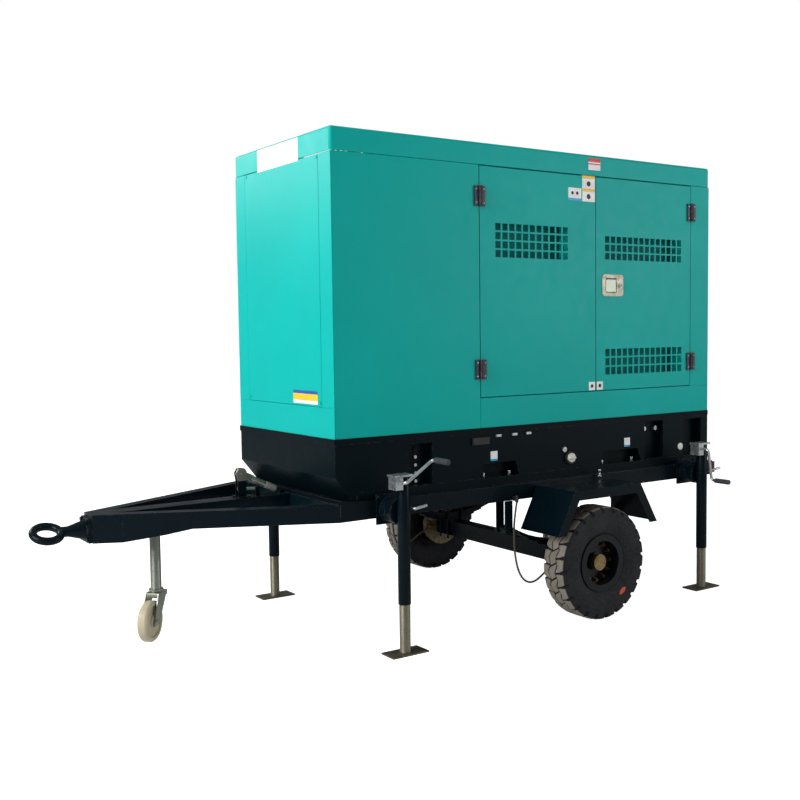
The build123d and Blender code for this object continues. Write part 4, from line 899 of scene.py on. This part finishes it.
for side_name, side in SIDES.items():
    frame_screws = []
    for door, (pin, inward) in DOOR_PINS.items():
        frame_screws += hinge_screws(side, pin - inward * SCREW_REACH)
        hardware(f"{side_name}_{door}_screws", f"{side_name}_{door}", bright_zinc,
                 hinge_screws(side, pin + inward * SCREW_REACH))
    hardware(f"{side_name}_hinge_screws", "root", bright_zinc, frame_screws)
    lock = lock_cylinder((ORIGIN + LOCK_STATION, side * PLATE_FACE, LATCH_HEIGHT), (0, side, 0), 0.0085)
    hardware(f"{side_name}_lock", f"{side_name}_rear_door", bright_zinc, [lock])
    rings = [weld_ring((ORIGIN + station, side * DRUM_FACE, JACK_PIVOT_HEIGHT), (0, 1, 0), 0.0605,
                       WELD_BEAD) for station in JACK_STATIONS]
    hardware(f"{side_name}_jack_welds", "root", paint_chassis, rings)
hardware("mudguard_studs", "root", bright_zinc,
         [stud((ORIGIN + 1.636, side * 0.562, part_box("mudguards")[1].z)) for side in SIDES.values()])
hardware("eye_weld", "root", paint_chassis,
         [weld_ring((ORIGIN - 1.0165, 0, 0.639), (1, 0, 0), 0.046, WELD_BEAD)])


# ---------------------------------------------------------------- plain labels
LABEL_GAP = 0.0003
LABEL_THICKNESS = 0.0006


def label(name, body, corner, across, up, out, bands):
    """Blank label of bands from the bottom up; corner is its lower left, across and up its edges."""
    across, up, out = Vector(across), Vector(up), Vector(out).normalized()
    vertices, faces, slots = [], [], []
    position = 0.0
    for share, material in bands:
        low, high = position, position + share
        position = high
        base = len(vertices)
        for lift in (0.0, LABEL_THICKNESS):
            for u, v in ((0, low), (1, low), (1, high), (0, high)):
                vertices.append(Vector(corner) + across * u + up * v + out * (LABEL_GAP + lift))
        faces += [(base + 4, base + 5, base + 6, base + 7), (base + 3, base + 2, base + 1, base),
                  (base, base + 1, base + 5, base + 4), (base + 1, base + 2, base + 6, base + 5),
                  (base + 2, base + 3, base + 7, base + 6), (base + 3, base, base + 4, base + 7)]
        slots += [material] * 6
    mesh = bpy.data.meshes.new(name)
    mesh.from_pydata(vertices, [], faces)
    materials = []
    for material in slots:
        if material not in materials:
            materials.append(material)
            mesh.materials.append(material)
    for polygon, material in zip(mesh.polygons, slots):
        polygon.material_index = materials.index(material)
    thing = new_object(name, mesh)
    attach(thing, body)


def front_label(name, y_left, y_right, z_low, z_high, bands):
    """Label on the canopy's front face; left and right are as seen from the front."""
    label(name, "root", (ORIGIN, y_left, z_low), (0, y_right - y_left, 0), (0, 0, z_high - z_low),
          (-1, 0, 0), bands)


def near_label(name, body, station, z, width, height, bands):
    """Label on the near side, centred at a station and a height."""
    label(name, body, (ORIGIN + station - width / 2, -FACE, z - height / 2), (width, 0, 0),
          (0, 0, height), (0, -1, 0), bands)


front_label("brand_plate", 0.232, -0.198, 2.329, 2.439, [(1.0, sticker_white)])
front_label("front_notice", -0.107, -0.348, 1.167, 1.231,
            [(0.25, sticker_white), (0.5, sticker_yellow), (0.25, sticker_blue)])
YELLOW_TOP = [(0.78, sticker_white), (0.22, sticker_yellow)]
BLUE_FOOT = [(0.20, sticker_cyan), (0.80, sticker_white)]
near_label("roof_notice", "root", 1.660, 2.400, 0.089, 0.064,
           [(0.45, sticker_white), (0.10, sticker_red), (0.12, sticker_white), (0.33, sticker_red)])
near_label("door_notice_a", "near_front_door", 1.616, 2.300, 0.094, 0.070, YELLOW_TOP)
near_label("door_notice_b", "near_front_door", 1.616, 2.2305, 0.094, 0.068, YELLOW_TOP)
near_label("door_notice_c", "near_front_door", 1.515, 2.2305, 0.094, 0.068, BLUE_FOOT)
near_label("door_notice_d", "near_front_door", 1.640, 1.196, 0.046, 0.046, [(1.0, sticker_white)])
near_label("door_notice_e", "near_rear_door", 1.700, 1.196, 0.046, 0.046, [(1.0, sticker_white)])
near_label("base_notice_a", "root", 0.945, 0.864, 0.045, 0.050, BLUE_FOOT)
near_label("base_notice_b", "root", 1.914, 0.867, 0.045, 0.050, BLUE_FOOT)

# Station, height and radius of the dark dots printed on each door's labels.
DOTS = {
    "near_front_door": [(1.616, 2.292, 0.014), (1.616, 2.2235, 0.014), (1.640, 1.196, 0.010),
                        (1.497, 2.237, 0.009), (1.532, 2.237, 0.009)],
    "near_rear_door": [(1.700, 1.196, 0.010)],
}
for door, dots in DOTS.items():
    discs = [lathe((ORIGIN + station, -0.5009, height), (0, -1, 0), [(radius, 0), (radius, 0.0004)])
             for station, height, radius in dots]
    hardware(f"{door}_label_dots", door, black_plastic, discs)
plugs = [lathe((ORIGIN + 2.355, side * 0.4990, 0.811), (0, side, 0),
               [(0.0190, 0), (0.0190, 0.004), (0.0215, 0.0042), (0.0210, 0.0065), (0.014, 0.0075)])
         for side in SIDES.values()]
hardware("lashing_plugs", "root", cap_white, plugs)


# ---------------------------------------------------------------- stage and light
FILL_STRENGTH = 0.20    # of the surroundings' light, where the camera doesn't see them directly
FLOOR_GLOW = 0.93
FLOOR_HALF = 60


def area_light(name, place, target, size, power):
    """White rectangular light aimed at a target."""
    data = bpy.data.lights.new(name, "AREA")
    data.shape = "RECTANGLE"
    data.size, data.size_y = size
    data.energy = power
    light = new_object(name, data)
    light.location = place
    light.rotation_euler = (Vector(target) - Vector(place)).to_track_quat("-Z", "Y").to_euler()


def pale_floor():
    """Matt white floor that glows a little towards the eye, so that its far edge meets the white."""
    n = Nodes("floor_white", Specular_IOR_Level=0.0)
    n.color(n.mix(n.ramp(n.noise(1.5), 0.3, 0.7), (0.80, 0.80, 0.80, 1), (0.84, 0.84, 0.84, 1)))
    n.rough(0.9)
    path = n.new("ShaderNodeLightPath")
    glow = n.maths("MULTIPLY", path.outputs["Is Camera Ray"], FLOOR_GLOW)
    n.shader.inputs["Emission Color"].default_value = (1, 1, 1, 1)
    n.link(glow, n.shader.inputs["Emission Strength"])
    return n.material


def studio():
    """Pale floor and white surroundings, a broad light on the front, two for the sheens, one above."""
    world = bpy.data.worlds.new("studio")
    world.use_nodes = True
    tree = world.node_tree
    seen = tree.nodes["Background"]
    seen.inputs["Color"].default_value = (1, 1, 1, 1)
    seen.inputs["Strength"].default_value = 1.0
    fill = tree.nodes.new("ShaderNodeBackground")
    fill.inputs["Color"].default_value = (0.93, 0.97, 1.0, 1)
    fill.inputs["Strength"].default_value = FILL_STRENGTH
    path = tree.nodes.new("ShaderNodeLightPath")
    mix = tree.nodes.new("ShaderNodeMixShader")
    tree.links.new(path.outputs["Is Camera Ray"], mix.inputs["Fac"])
    tree.links.new(fill.outputs["Background"], mix.inputs[1])
    tree.links.new(seen.outputs["Background"], mix.inputs[2])
    tree.links.new(mix.outputs["Shader"], tree.nodes["World Output"].inputs["Surface"])
    bpy.context.scene.world = world
    bpy.context.scene.view_settings.view_transform = "Standard"
    area_light("key", (-7.5, -0.8, 4.2), (-0.6, 0, 1.5), (4.5, 4.0), 570)
    area_light("front_sheen", (-3.6, 6.5, 4.6), (-0.6, 0, 1.9), (3.0, 2.5), 200)
    area_light("side_sheen", (5.6, -5.4, 2.6), (1.0, -0.5, 1.7), (3.5, 3.0), 130)
    area_light("overhead", (0.0, -3.0, 6.5), (0.3, 0, 1.0), (5.0, 3.0), 40)
    mesh = bpy.data.meshes.new("floor")
    corners = [(x * FLOOR_HALF, y * FLOOR_HALF, 0) for x, y in ((-1, -1), (1, -1), (1, 1), (-1, 1))]
    mesh.from_pydata(corners, [], [(0, 1, 2, 3)])
    mesh.materials.append(pale_floor())
    new_object("floor", mesh)


studio()
